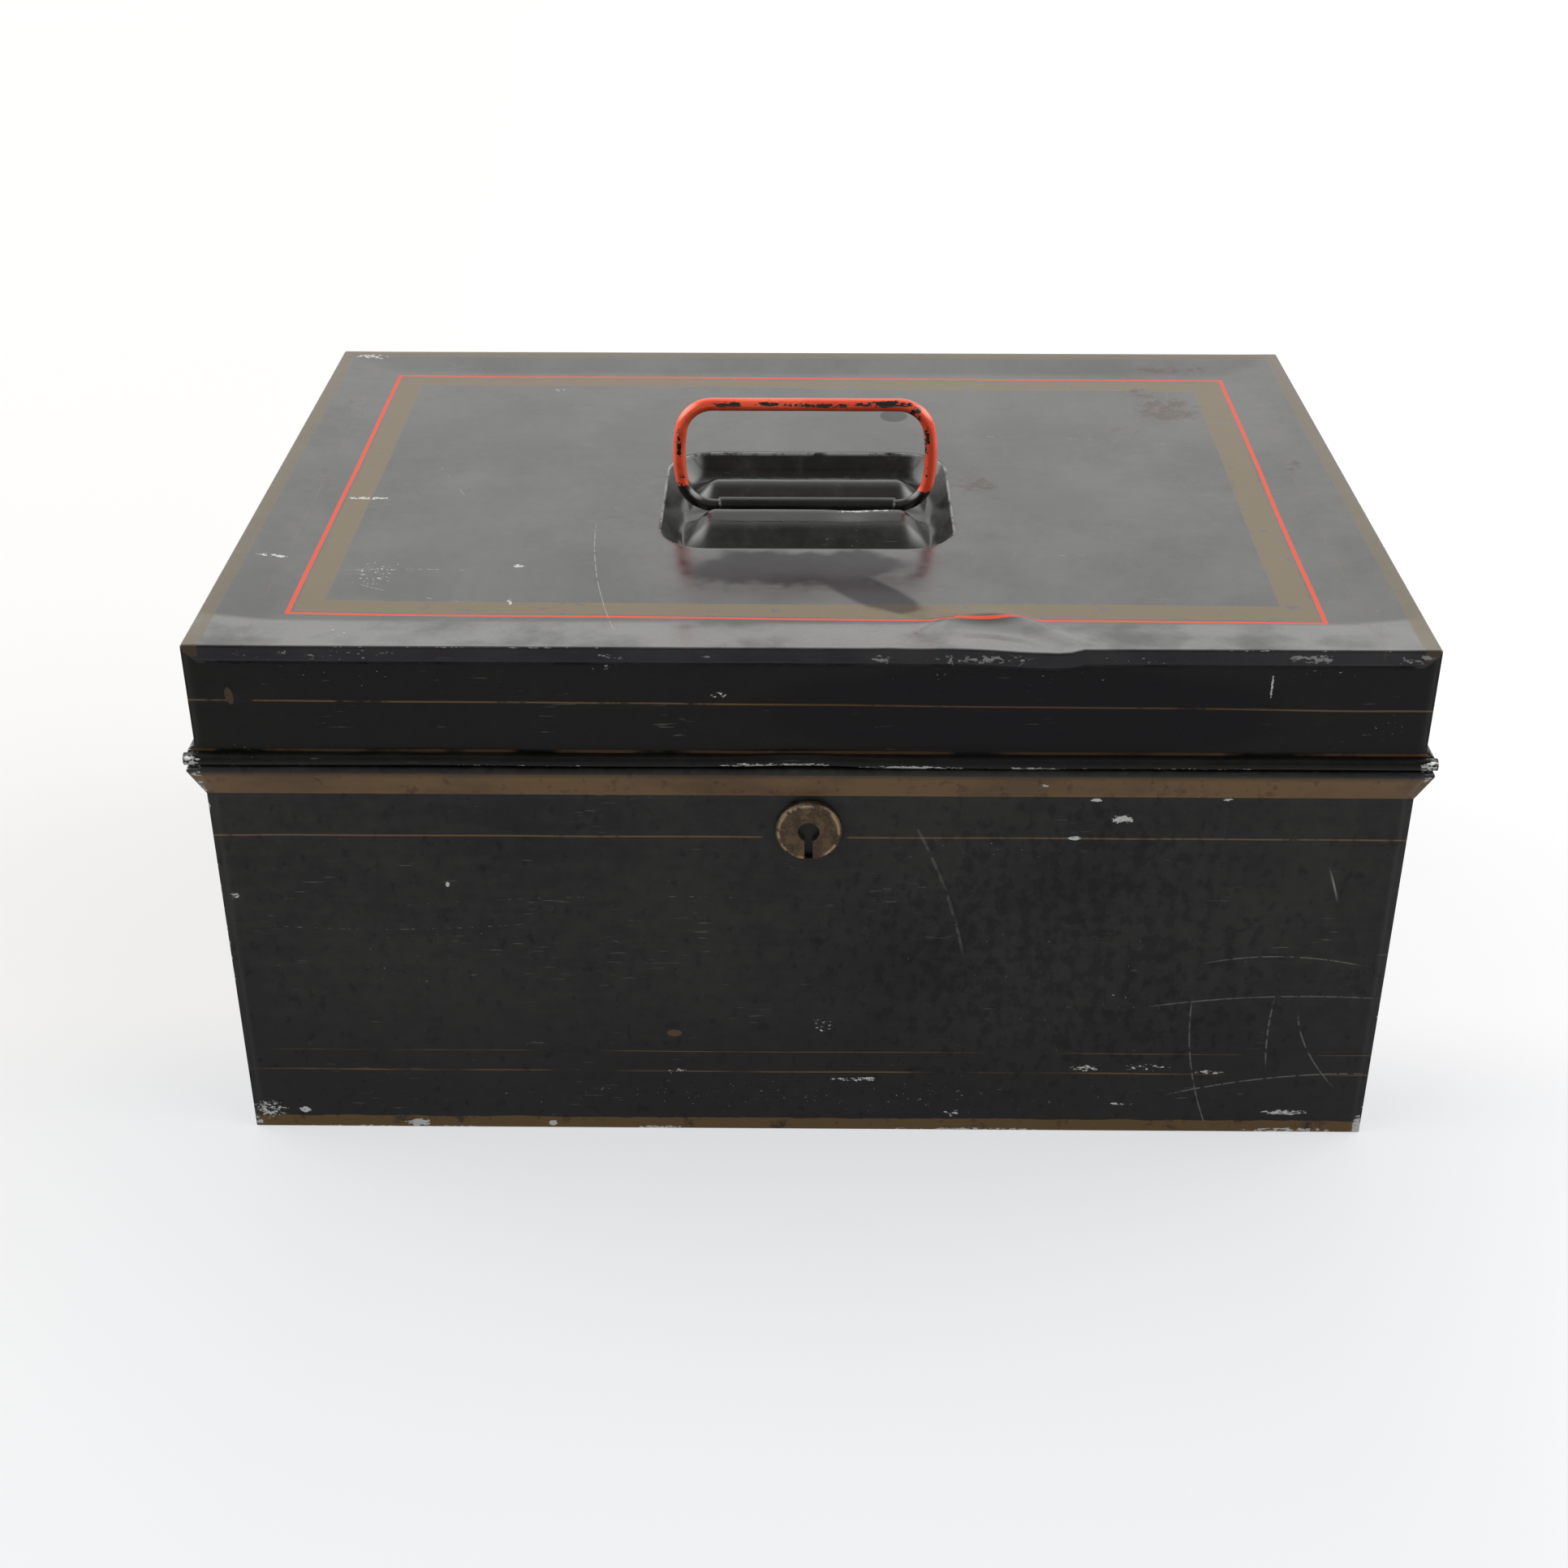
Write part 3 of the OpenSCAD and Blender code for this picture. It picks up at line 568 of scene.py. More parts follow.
def lid_dark_reflection_and_stain(f):
    """Painted reflection: a dark sweep in front of the recess for the handle's dark reflection,
    one round stain, and a dull dark film on the front fold's face.
    """
    # painted reflection: the dark sweep and its tail stand in for the handle's reflection in the
    # lid
    bent = f.y + (f.noise(0.030, 3.0, 0.6, (4, 4, 0)) - 0.5) * 0.030
    reflection_sweep = spot(f.x, bent, -0.004, -0.074, 0.048, 0.018)
    reflection_tail = spot(f.x - (f.y + 0.074) * -0.75, bent, 0.004, -0.094, 0.014, 0.028)
    stain = spot(f.x, f.y, 0.0344, 0.0751, 0.0065, 0.008)
    return either([reflection_sweep.over(reflection_tail).step(0.02, 0.60) * 0.55, stain.step(0.1, 0.3) * 0.35,
                   on_fold(f) * 0.55])


def painted_border_highlight(f):
    """Painted highlight: a pale bloom on the front border, just behind its fold, for the light
    that the sloping border reflects.
    """
    border = f.y.step(-0.119, -0.123) * f.y.step(-0.1458, -0.1454) * f.attribute("outer")
    return border * f.noise(0.03, 4.0, 0.6, (1, 7, 0)).step(0.30, 0.60)


def lid_top_layers(f):
    """Clouding, a painted highlight on the front border, lining, rust, scratches and bare specks
    of the lid's top, from the lowest up.
    """
    hair = either([stroke(f, f.x, f.y, bend, half, keep, 1.7 * k)
                   for k, (bend, half, keep) in enumerate(LID_LINES)])
    drip = stroke(f, f.y, f.x, (-0.130, -0.040, -0.03, -0.078, 1.4), 0.00016, 0.42, 3.0)
    specks = flecks(f, f.x, f.y, LID_SPECKS, 2.6, 0.0013, (0.8, 0.8, 1))
    clouds = f.noise(0.050, 5.0, 0.65, (6, 2, 0), (1, 0.7, 1)).step(0.36, 0.66)
    clouds = clouds * f.attribute("outer")
    # painted highlight: a pale film on the front border for the light its slope reflects
    under = ((clouds * 0.10, PALE, 0.30, 0.0), (painted_border_highlight(f) * 0.42, PALE, 0.32, 0.0))
    over = ((lid_rust(f) * 0.62, RUST, 0.6, 0.0), (hair.over(drip) * 0.7, PALE, 0.4, 0.0),
            (lip_line(f) * 0.55, TIN, 0.4, 0.0), (specks, TIN, 0.45, 0.2))
    return under + lid_paint(f) + over


FOLD_CHIPS = ((-0.066, 0.1940, 0.010, 0.002, 0.5), (-0.030, 0.1940, 0.008, 0.002, 0.45),
              (0.024, 0.1940, 0.006, 0.0025, 0.6), (0.056, 0.1936, 0.030, 0.003, 0.55),
              (0.110, 0.1940, 0.040, 0.002, 0.35), (0.162, 0.1945, 0.012, 0.003, 0.6),
              (-0.160, 0.1945, 0.040, 0.003, 0.40), (0.195, 0.1945, 0.012, 0.003, 0.55))


def on_fold(f):
    """1 on the face of the lid's front fold."""
    return f.y.step(LID_LOW.y + 0.0012, LID_LOW.y + 0.0006)


def lid_top_edge(f):
    """Bare tin along the lid's front and side edges and on the fold below."""
    front = (f.y - LID_LOW.y).over(RIM_Z - f.z)
    side = (HALF_W + SKIRT_OUT - abs(f.x)).over(RIM_Z - f.z)
    fold = flecks(f, f.x, f.z, FOLD_CHIPS, 1.9, 0.0014)
    return either([worn_edge(f, front, 0.0011, 1.7, 0.53), worn_edge(f, side, 0.0010, 5.7, 0.56),
                   fold * f.attribute("outer") * on_fold(f)])


SKIRT_SPECKS = (
    (-0.187, 0.160, 0.010, 0.004, 0.3), (-0.029, 0.180, 0.005, 0.002, 0.5),
    (0.150, 0.184, 0.0006, 0.007, 0.75), (0.190, 0.170, 0.010, 0.010, 0.3),
    (-0.066, 0.1905, 0.010, 0.003, 0.45), (0.060, 0.188, 0.070, 0.006, 0.24),
    (-0.150, 0.187, 0.050, 0.007, 0.25), (0.160, 0.190, 0.030, 0.005, 0.3),
)


def skirt_layers(f):
    """Gilt line, a painted highlight along the top of the roll, one rust drip and bare specks of
    the lid's skirt.
    """
    wander = f.noise(0.08, 1.0, 0.5, (4, 0, 0)) - 0.5
    level = f.z - wander * 0.0012 + f.x * 0.0058
    worn = f.noise(0.02, 4.0, 0.7, (3, 1, 3)).step(0.32, 0.46)
    line = level.near(0.1765, 0.00028, 0.0002) * f.attribute("outer") * worn
    drip = spot(f.x + f.z * 0.12, f.z, -0.1683, 0.1790, 0.0016, 0.0038).step(0.1, 0.4)
    specks = flecks(f, f.x, f.z, SKIRT_SPECKS, 3.6, 0.0012) * facing_front(f)
    # painted highlight: a gilt-coloured band along the top of the edge roll, where it catches the
    # light
    roll_top_highlight = (f.z.near(BEAD_Z + 0.0026, 0.0005, 0.0003) * f.attribute("outer")
                 * f.noise(0.03, 3.0, 0.6, (5, 3, 1)).step(0.38, 0.55))
    return ((line * 0.75, GILT, 0.4, 0.3), (roll_top_highlight * 0.5, GILT, 0.4, 0.4),
            (drip * 0.8, RUST, 0.5, 0.0), (specks, TIN, 0.45, 0.3))


ROLL_CHIPS = ((-0.010, BEAD_Z - 0.0004, 0.030, 0.0014, 0.76),
              (0.032, BEAD_Z - 0.0012, 0.028, 0.0014, 0.74),
              (0.075, BEAD_Z - 0.0014, 0.022, 0.0012, 0.62),
              (0.130, BEAD_Z - 0.0014, 0.05, 0.0010, 0.4),
              (-0.100, BEAD_Z - 0.0014, 0.06, 0.0010, 0.4),
              (-0.205, BEAD_Z, 0.006, 0.003, 0.7), (0.205, BEAD_Z, 0.006, 0.003, 0.7))


def skirt_edge(f):
    """Bare tin along the rolled edge and under it."""
    low = f.z - (BEAD_Z - BEAD_R)
    roll = flecks(f, f.x, f.z, ROLL_CHIPS, 4.9, 0.0010, (0.45, 1, 1))
    return (roll * facing_front(f)).over(worn_edge(f, low, 0.0010, 2.2, 0.54))


COLLAR_Z = 0.1415
GILT_LINE_Z = 0.1252
# Scratches as above, with the axis they run along first and their strength last.
FRONT_LINES = (
    ("x", (0.1227, 0.199, 0.178, 0.0608, -1.47), 0.00026, 0.40, 0.5),
    ("x", (0.140, 0.192, 0.1645, 0.0776, -4.3), 0.00022, 0.42, 0.6),
    ("x", (0.133, 0.199, 0.198, 0.0270, -2.2), 0.00025, 0.40, 0.6),
    ("z", (0.0778, 0.129, 0.045, 0.0572, -2.9), 0.00050, 0.40, 0.28),
    ("z", (0.003, 0.0574, 0.055, 0.1358, 3.67), 0.00026, 0.40, 0.5),
    ("z", (0.032, 0.0576, 0.045, 0.1640, 4.0), 0.00025, 0.40, 0.6),
    ("z", (0.0227, 0.0516, 0.0598, 0.1733, 11.2), 0.00025, 0.40, 0.6),
    ("z", (0.103, 0.1112, 0.06, 0.1875, -3.4), 0.00035, 0.30, 1.0),
    ("x", (-0.185, -0.10, -0.15, 0.0870, 0.9), 0.00020, 0.50, 0.5),
    ("x", (-0.14, -0.02, -0.05, 0.1010, -0.5), 0.00018, 0.52, 0.4),
)
FRONT_CHIPS = (
    (0.1055, 0.1330, 0.0060, 0.0026, 0.84), (0.0900, 0.1254, 0.0036, 0.0013, 0.84),
    (0.0965, 0.1404, 0.0030, 0.0010, 0.8), (0.1403, 0.1408, 0.0030, 0.0008, 0.8),
    (0.0785, 0.1472, 0.0026, 0.0016, 0.6), (0.018, 0.0229, 0.018, 0.0013, 0.62),
    (0.100, 0.0284, 0.008, 0.0020, 0.62), (0.122, 0.0290, 0.014, 0.0024, 0.5),
    (0.145, 0.0272, 0.008, 0.0016, 0.6), (0.1137, 0.0126, 0.008, 0.0010, 0.6),
    (0.174, 0.0092, 0.012, 0.0018, 0.75), (0.053, 0.0080, 0.005, 0.0028, 0.5),
    (-0.124, 0.1057, 0.0010, 0.0014, 1.0), (-0.198, 0.1005, 0.003, 0.002, 0.6),
    (-0.196, 0.008, 0.010, 0.006, 0.62), (-0.1835, 0.0078, 0.0032, 0.0020, 0.9),
    (0.0055, 0.047, 0.006, 0.006, 0.45), (-0.047, 0.0262, 0.006, 0.002, 0.55),
    (-0.155, 0.125, 0.02, 0.010, 0.2), (-0.130, 0.075, 0.05, 0.03, 0.16),
    (0.06, 0.12, 0.05, 0.012, 0.2), (0.09, 0.07, 0.10, 0.05, 0.16),
    (0.0, 0.016, 0.19, 0.014, 0.22),
)
FOOT_CHIPS = (
    (-0.1425, 0.0022, 0.0065, 0.0028, 0.95), (-0.0929, 0.0024, 0.0022, 0.0022, 0.9),
    (-0.055, 0.0006, 0.014, 0.0012, 0.8), (0.060, 0.0006, 0.05, 0.0012, 0.6),
    (0.176, 0.0010, 0.026, 0.0016, 0.7), (-0.150, 0.0004, 0.06, 0.0008, 0.5),
    (0.2012, 0.003, 0.003, 0.008, 0.85), (-0.2015, 0.003, 0.003, 0.006, 0.6),
)


def dabs(f):
    """Darker handled dabs, thick on the right of the front."""
    crowd = spot(f.x, f.z, 0.085, 0.080, 0.100, 0.075)
    grain = f.noise(0.0042, 4.0, 0.6, (6, 1, 9), (1, 1, 0.7))
    return (grain + crowd * 0.12).step(0.58, 0.68)


def front_scratches(f):
    """Long shallow arcs across the front, running along X or along Z."""
    lines = []
    for k, (way, bend, half, keep, weight) in enumerate(FRONT_LINES):
        along, across = (f.x, f.z) if way == "x" else (f.z, f.x)
        lines.append(stroke(f, along, across, bend, half, keep, 1.3 * k) * weight)
    return either(lines)


def body_film(f):
    """The dabs as a thin dull film."""
    return dabs(f) * 0.30


def skirt_film(f):
    """Darker black right of the middle, where the skirt is pushed in, under a dull film."""
    cloud = f.noise(0.020, 4.0, 0.6, (5, 5, 2), (0.5, 1, 1))
    return (spot(f.x, f.z, 0.070, 0.174, 0.110, 0.022) * 0.7 + cloud * 0.3).step(0.20, 0.60) * 0.35


def body_layers(f):
    """Lining, gilt collar and foot, scratches and chips of the box's walls, with painted shade low
    down and a darker, shaded copy of the gilt on the foot.
    """
    outer = f.attribute("outer")
    wander = f.noise(0.09, 1.0, 0.5, (6, 0, 0)) - 0.5
    level = f.z - wander * 0.0010
    worn = f.noise(0.015, 4.0, 0.7, (5, 1, 3)).step(0.30, 0.44)
    slant = f.z.step(COLLAR_Z - 0.0001, COLLAR_Z + 0.0004) * f.z.step(0.1519, 0.1513) * outer
    foot = (f.z + (f.noise(0.012, 3.0, 0.6, (2, 2, 7)) - 0.5) * 0.002).step(0.0056, 0.0050) * outer
    clear_of_lock = abs(f.x + 0.0015).step(0.0135, 0.0155)
    line = level.near(GILT_LINE_Z, 0.00030, 0.0002) * clear_of_lock * worn
    patchy = f.noise(0.05, 3.0, 0.6, (7, 1, 3)).step(0.40, 0.60)
    low_line, upper_line = level.near(0.0262, 0.00030, 0.0002), level.near(0.0350, 0.00016, 0.0002)
    low_lines = upper_line.over(low_line) * patchy
    darker = f.noise(0.025, 4.0, 0.6, (8, 0, 2), (0.5, 1, 1)).step(0.45, 0.65)
    # the gilt on the slant thins towards its top, leaving it darker there
    slant_top_darker = f.z.step(0.1490, 0.1516) * 0.55
    front = outer * facing_front(f)
    chips = flecks(f, f.x, f.z, FRONT_CHIPS, 5.3, 0.0009, (0.55, 1, 1)) * front
    chips = chips * f.z.step(0.154, 0.152)
    brown = spot(f.x, f.z, -0.0475, 0.0431, 0.0032, 0.0018).step(0.1, 0.4)
    slant_gilt = slant * (0.70 + worn * 0.30) * (1 - slant_top_darker)
    # painted reflection of the floor's contact shadow: the walls darken towards the foot
    return ((f.z.step(0.075, 0.02) * 0.6, BLACK, 0.5, 0.0),
            (line.over(low_lines * 0.8) * outer * 0.8, GILT, 0.4, 0.3),
            # painted shade: the foot band takes the darker copy of the gilt
            (foot * worn * 0.9, SHADED_FOOT_GILT, 0.45, 0.3), (slant_gilt, GILT, 0.40, 0.4),
            (slant * darker * 0.35, BLACK, 0.4, 0.0), (brown, RUST, 0.6, 0.0),
            (front_scratches(f) * front * 0.6, PALE, 0.4, 0.0), (chips, TIN, 0.5, 0.2))


def body_edge(f):
    """Bare tin at the foot and the upright corners."""
    corner = (HALF_W - abs(f.x)).over(HALF_D - abs(f.y))
    near_foot = worn_edge(f, f.z, 0.0020, 2.9, 0.56)
    foot = flecks(f, f.x, f.z, FOOT_CHIPS, 6.3, 0.0015, (0.5, 1, 1)) * f.attribute("outer")
    foot = foot * facing_front(f)
    return either([near_foot, foot, worn_edge(f, corner, 0.0016, 3.9, 0.56)])


# Chips of the handle, with heights above the wire in the keeper.
GRIP_CHIPS = (
    (-0.030, 0.0404, 0.009, 0.0016, 0.70), (-0.014, 0.0406, 0.014, 0.0012, 0.62),
    (0.004, 0.0402, 0.020, 0.0015, 0.80), (0.028, 0.0406, 0.017, 0.0018, 0.82),
    (0.0385, 0.0365, 0.0040, 0.0050, 0.80), (0.0430, 0.026, 0.0020, 0.010, 0.72),
    (0.0435, 0.014, 0.0018, 0.004, 0.6), (-0.0485, 0.025, 0.0015, 0.011, 0.70),
    (-0.0475, 0.013, 0.0018, 0.005, 0.64),
)


def red_wire():
    """Orange-red enamel, chipped to black along the grip and bare near the keeper."""
    f = Finish("red_wire", IOR=1.48)
    up = f.z - AXIS_Z
    chipped = flecks(f, f.x, up, GRIP_CHIPS, 2.2, 0.0014, (0.35, 1, 0.7))
    ragged = f.noise(0.003, 3.0, 0.7, (3, 0, 1))
    left = (f.x * -1.0).step(0.0, 0.01)
    bare_low = (up + (ragged - 0.5) * 0.008 - left * 0.0025).step(0.0068, 0.0060)
    black = chipped.over(bare_low)
    lighter = f.noise(0.012, 3.0, 0.5).step(0.45, 0.7) * 0.5
    tone = f.blend(ENAMEL_RED, ENAMEL_ORANGE, lighter)
    grime = f.noise(0.0022, 4.0, 0.65, (6, 6, 0)).step(0.52, 0.78)
    colour = f.blend(f.blend(tone, ENAMEL_GRIME, grime * 0.55), WIRE_BLACK, black)
    f.use(Base_Color=colour, Roughness=f.blend_number(0.22, 0.16, black),
          Metallic=0.28 - black * 0.28)
    f.bump(ragged * 0.3 - chipped, 0.4, 0.00012)
    return f.material


def old_brass():
    """Brass gone brown, with verdigris in patches and a lighter ring near the edge, both rubbed
    brass and a painted glint.
    """
    f = Finish("old_brass", IOR=1.45)
    cloud = f.noise(0.005, 5.0, 0.65, (2, 2, 2))
    fine = f.noise(0.0009, 3.0, 0.7, (4, 1, 2))
    tone = f.blend(BRASS_DARK, BRASS_BROWN, (cloud * 0.7 + fine * 0.3).step(0.40, 0.62))
    above = (f.z - PLATE_Z).step(0.003, 0.010)
    green = (fine * 0.6 + cloud * 0.4 + above * 0.10).step(0.62, 0.70)
    colour = f.blend(tone, VERDIGRIS, green * 0.6)
    from_centre = (f.x ** 2.0 + (f.z - PLATE_Z) ** 2.0) ** 0.5
    # rubbed brass and a painted glint: a lighter ring near the plate's raised edge
    rim_rub_and_glint = from_centre.near(0.0102, 0.0004, 0.0004) * cloud.step(0.42, 0.56)
    colour = f.blend(colour, BRASS_RUB_AND_GLINT, rim_rub_and_glint * 0.7)
    pits = f.noise(0.0014, 3.0, 0.7, (9, 1, 2)).step(0.64, 0.72)
    colour = f.blend(colour, BRASS_PIT, pits * 0.8)
    rough = f.blend_number(0.42, 0.80, green.over(pits))
    f.use(Base_Color=colour, Roughness=rough, Metallic=f.blend_number(0.65, 0.1, green.over(pits)))
    f.bump(fine * 0.5 + cloud * 0.4 - pits * 0.5, 0.35, 0.0002)
    return f.material


def plain_metal(name, low, high, rough, size=0.004):
    """Dull metal with brushed streaks and a little staining."""
    f = Finish(name, IOR=1.5)
    streak = f.noise(size, 4.0, 0.6, (1, 1, 1), (0.25, 1, 1))
    stain = f.noise(size * 4, 3.0, 0.6, (3, 1, 1)).step(0.52, 0.70)
    colour = f.blend(low, high, streak.step(0.35, 0.65))
    colour = f.blend(colour, STAIN, stain * 0.5)
    f.use(Base_Color=colour, Roughness=f.blend_number(rough, rough + 0.3, stain),
          Metallic=0.95 - stain * 0.5)
    f.bump(streak, 0.25, 0.0002)
    return f.material


# the lid's dark film holds a painted reflection in front of the recess, a stain and the fold's
# dull face
LID_BLACK = japan("lid_japan", lid_top_layers, lid_top_edge, 0.12, 0.15, 0.30, 1.42, 0.06,
                  lid_dark_reflection_and_stain)
SKIRT_BLACK = japan("skirt_japan", skirt_layers, skirt_edge, 0.04, 0.22, 0.40, 1.20, 0.10,
                    skirt_film, 0.3)
BODY_BLACK = japan("body_japan", body_layers, body_edge, 0.04, 0.34, 0.50, 1.275, 0.12, body_film)
BACK_BLACK = japan("back_japan", None, body_edge, 0.10, 0.28, 0.45, 1.30)
DISH_BLACK = japan("dish_japan", dish_layers, None, 0.08, 0.16, 0.32, 1.38, 0.08, None, 0.5)
PART_BLACK = japan("fitting_japan", None, None, 0.15, 0.20, 0.35, 1.30, 0.10, None, 0.4)
HANDLE_RED = red_wire()
OLD_BRASS = old_brass()
LOCK_BRASS = plain_metal("lock_brass", (0.45, 0.36, 0.20), (0.66, 0.55, 0.34), 0.36)
LOCK_STEEL = plain_metal("lock_steel", (0.18, 0.18, 0.175), (0.34, 0.34, 0.33), 0.36)
TINNED = plain_metal("tinned_wire", (0.40, 0.40, 0.38), (0.62, 0.62, 0.60), 0.30)


# ---------------------------------------------------------------- body

def body_path():
    """Mid line of the wall's sheet from the foot seam to the hem, as (outward, up)."""
    t = SHEET / 2
    seam_in = -1.6 * MM
    nose_r = 1.0 * MM
    nose = (COLLAR_OUT - 1.3 * MM, BEAD_Z - 3.7 * MM)
    vector = np.array(nose) - np.array((-t, COLLAR_Z))
    angle = math.atan2(vector[1], vector[0]) - math.asin(nose_r / np.linalg.norm(vector))
    length = math.sqrt(np.dot(vector, vector) - nose_r ** 2)
    slant_top = (-t + length * math.cos(angle), COLLAR_Z + length * math.sin(angle))
    ledge = nose[1] + nose_r
    upstand = 167.5 * MM - t
    path = straight((seam_in, 4.5 * MM), (seam_in, t + 0.4 * MM), 2 * MM)
    path += arc((seam_in + 0.4 * MM, t + 0.4 * MM), 0.4 * MM, 180, 270, 3)
    path += arc((-t - 0.4 * MM, t + 0.4 * MM), 0.4 * MM, 270, 360, 3)
    path += straight((-t, 1.2 * MM), (-t, COLLAR_Z), 5 * MM)
    path += straight((-t, COLLAR_Z), slant_top, 2 * MM)
    path += arc(nose, nose_r, math.degrees(angle) - 90, 90, 7)
    path += straight((nose[0] - 0.4 * MM, ledge), (0.3 * MM, ledge), 1.5 * MM)
    path += arc((0.2 * MM, ledge + 0.5 * MM), 0.5 * MM, 270, 180, 3)
    path += straight((-t, ledge + 1 * MM), (-t, upstand - 0.6 * MM), 3 * MM)
    path += arc((-t - 0.32 * MM, upstand - 0.32 * MM), 0.32 * MM, 0, 180, 5)
    path += [(-t - 0.64 * MM, upstand - 2.5 * MM), (-t - 0.64 * MM, upstand - 5 * MM)]
    return path


def wall_swell(side, along, z, half_len):
    """How far the thin wall stands in or out of flat, nothing at its folds and corners."""
    edge = ramp((half_len - abs(along)) / 0.035) * ramp(z / 0.03) * ramp((COLLAR_Z - z) / 0.03)
    long_wave = ripple(along, z, 0, 0.11, 3.7 + 5 * side)
    short_wave = ripple(along, z, 0, 0.035, 9.1 + 3 * side)
    return edge * (0.0007 * long_wave + 0.00018 * short_wave - 0.00025)


def make_wall(side, name, node, material):
    half = HALF_D if side % 2 == 0 else HALF_W
    other = HALF_W if side % 2 == 0 else HALF_D
    outline, flags = thicken(body_path(), SHEET / 2)
    outline = outline[::-1]
    flags = 1 - flags[::-1]
    count = 96 if side % 2 == 0 else 70

    def place(t, shape):
        along = t * (other + shape[:, 0])
        u = half + shape[:, 0]
        z = shape[:, 1].copy()
        for k in range(len(shape)):
            if z[k] < COLLAR_Z:
                u[k] += wall_swell(side, along[k], z[k], other)
            elif z[k] < 0.156:
                fade = ramp((other - abs(along[k])) / 0.02)
                u[k] += fade * 0.00018 * ripple(along[k], 0, 0, 0.045, 2.2 + side)
        return turned(side, u, along, z)

    points, faces = sweep(outline, np.linspace(-1, 1, count + 1), place)
    return make_object(name, points, faces, material, "box", (node,),
                       np.tile(flags, count + 1))


# ---------------------------------------------------------------- lid

def rim_path():
    """Mid line of the skirt's sheet, down and once round the edge wire."""
    mid = LID_GAP + SHEET / 2
    roll = BEAD_R - SHEET / 2
    path = straight((mid, RIM_Z - 0.7 * MM), (mid, BEAD_Z + 0.2 * MM), 3 * MM)
    path += arc((LID_GAP + BEAD_R, BEAD_Z), roll, 180, 500, 26)
    return path


def bead_lift(x):
    """The front edge is bent up at the middle and down beside it."""
    return (0.0009 * hump(x, -0.004, 0.020) - 0.0002 * hump(x, 0.055, 0.030)
            + 0.0003 * hump(x, -0.13, 0.03))


def make_rim(side, name, node, material):
    half = HALF_D if side % 2 == 0 else HALF_W
    other = HALF_W if side % 2 == 0 else HALF_D
    outline, flags = thicken(rim_path(), SHEET / 2)
    skirt_end = other + (SKIRT_OUT if side % 2 == 0 else LID_GAP)
    bead_end = other + (LID_GAP + 2 * BEAD_R if side % 2 == 0 else LID_GAP)
    count = 120 if side % 2 == 0 else 80

    def place(t, shape):
        low = ramp((BEAD_Z + 0.0032 - shape[:, 1]) / 0.001)
        along = t * (skirt_end + (bead_end - skirt_end) * low)
        u = half + shape[:, 0]
        z = shape[:, 1].copy()
        for k in range(len(shape)):
            fade = ramp((other - abs(along[k])) / 0.03)
            wave = ripple(along[k], z[k] * 0.5, 0, 0.06, 6.1 + 4 * side)
            body = ramp((z[k] - BEAD_Z) / 0.015) * ramp((RIM_Z - z[k]) / 0.012)
            small_wave = ripple(along[k], 0, 0, 0.03, 1.1 + side)
            u[k] += fade * (0.00045 * wave * body + 0.00012 * small_wave)
            if side == 0:
                pull = ramp((BEAD_Z + 0.022 - z[k]) / 0.022)
                pushed = min(dent(along[k], -TOP_HALF_D), 0.0)
                z[k] += ramp((z[k] - RIM_Z + 0.012) / 0.010) * pushed
                shiver = ripple(along[k], 0, 0, 0.02, 8.8)
                z[k] += pull * bead_lift(along[k]) + fade * 0.00008 * shiver
        return turned(side, u, along, z)

    points, faces = sweep(outline, np.linspace(-1, 1, count + 1), place)
    return make_object(name, points, faces, material, "lid", (node,),
                       np.tile(flags, count + 1))


def outline_loop(half_w, half_d, radius, per_long, per_short, per_corner):
    """Points and outward directions round a rounded rectangle, anticlockwise as one closed loop.

    It starts at the left end of the front side; each corner has its arc's first angle.
    """
    corners = ((half_w, -half_d, 270), (half_w, half_d, 0), (-half_w, half_d, 90),
               (-half_w, -half_d, 180))
    points = []
    normals = []
    for k, (cx, cy, start) in enumerate(corners):
        px = cx - math.copysign(radius, cx)
        py = cy - math.copysign(radius, cy)
        prev = corners[k - 1]
        qx = prev[0] - math.copysign(radius, prev[0])
        qy = prev[1] - math.copysign(radius, prev[1])
        count = per_long if k % 2 == 0 else per_short
        out = (math.cos(math.radians(start)), math.sin(math.radians(start)))
        a = np.array((qx, qy)) + radius * np.array(out)
        b = np.array((px, py)) + radius * np.array(out)
        for i in range(count):
            points.append(a + (b - a) * i / count)
            normals.append(out)
        for i in range(per_corner):
            t = math.radians(start + 90 * i / per_corner)
            points.append(np.array((px + radius * math.cos(t), py + radius * math.sin(t))))
            normals.append((math.cos(t), math.sin(t)))
    return np.array(points), np.array(normals)


TOP_HALF_W = HALF_W + SKIRT_OUT + 0.05 * MM
TOP_HALF_D = HALF_D + SKIRT_OUT + 0.65 * MM
TOP_R = 1.0 * MM
FOLD_H = 6.2 * MM
FOLD_R = 0.8 * MM


def dent(x, y):
    """The knock in the front edge right of the middle: a hollow with a raised crease behind it."""
    from_edge = y + TOP_HALF_D
    hollow = hump(x, 0.074, 0.015) * hump(from_edge, 0.0, 0.012)
    ridge_line = 0.0300 - 28.0 * (x - 0.058) ** 2
    crease = hump(from_edge, ridge_line, 0.0042) * hump(x, 0.064, 0.024)
    valley = hump(from_edge, ridge_line - 0.011, 0.006) * hump(x, 0.064, 0.018)
    return -0.0013 * hollow + 0.0021 * crease - 0.0016 * valley


def past_recess(x, y):
    """Distance outward from the recess's outline, negative inside it."""
    qx = abs(x - AXIS_X) - DISH_HALF_W + DISH_R
    qy = abs(y - AXIS_Y) - DISH_HALF_D + DISH_R
    return math.hypot(max(qx, 0), max(qy, 0)) + min(max(qx, qy), 0) - DISH_R


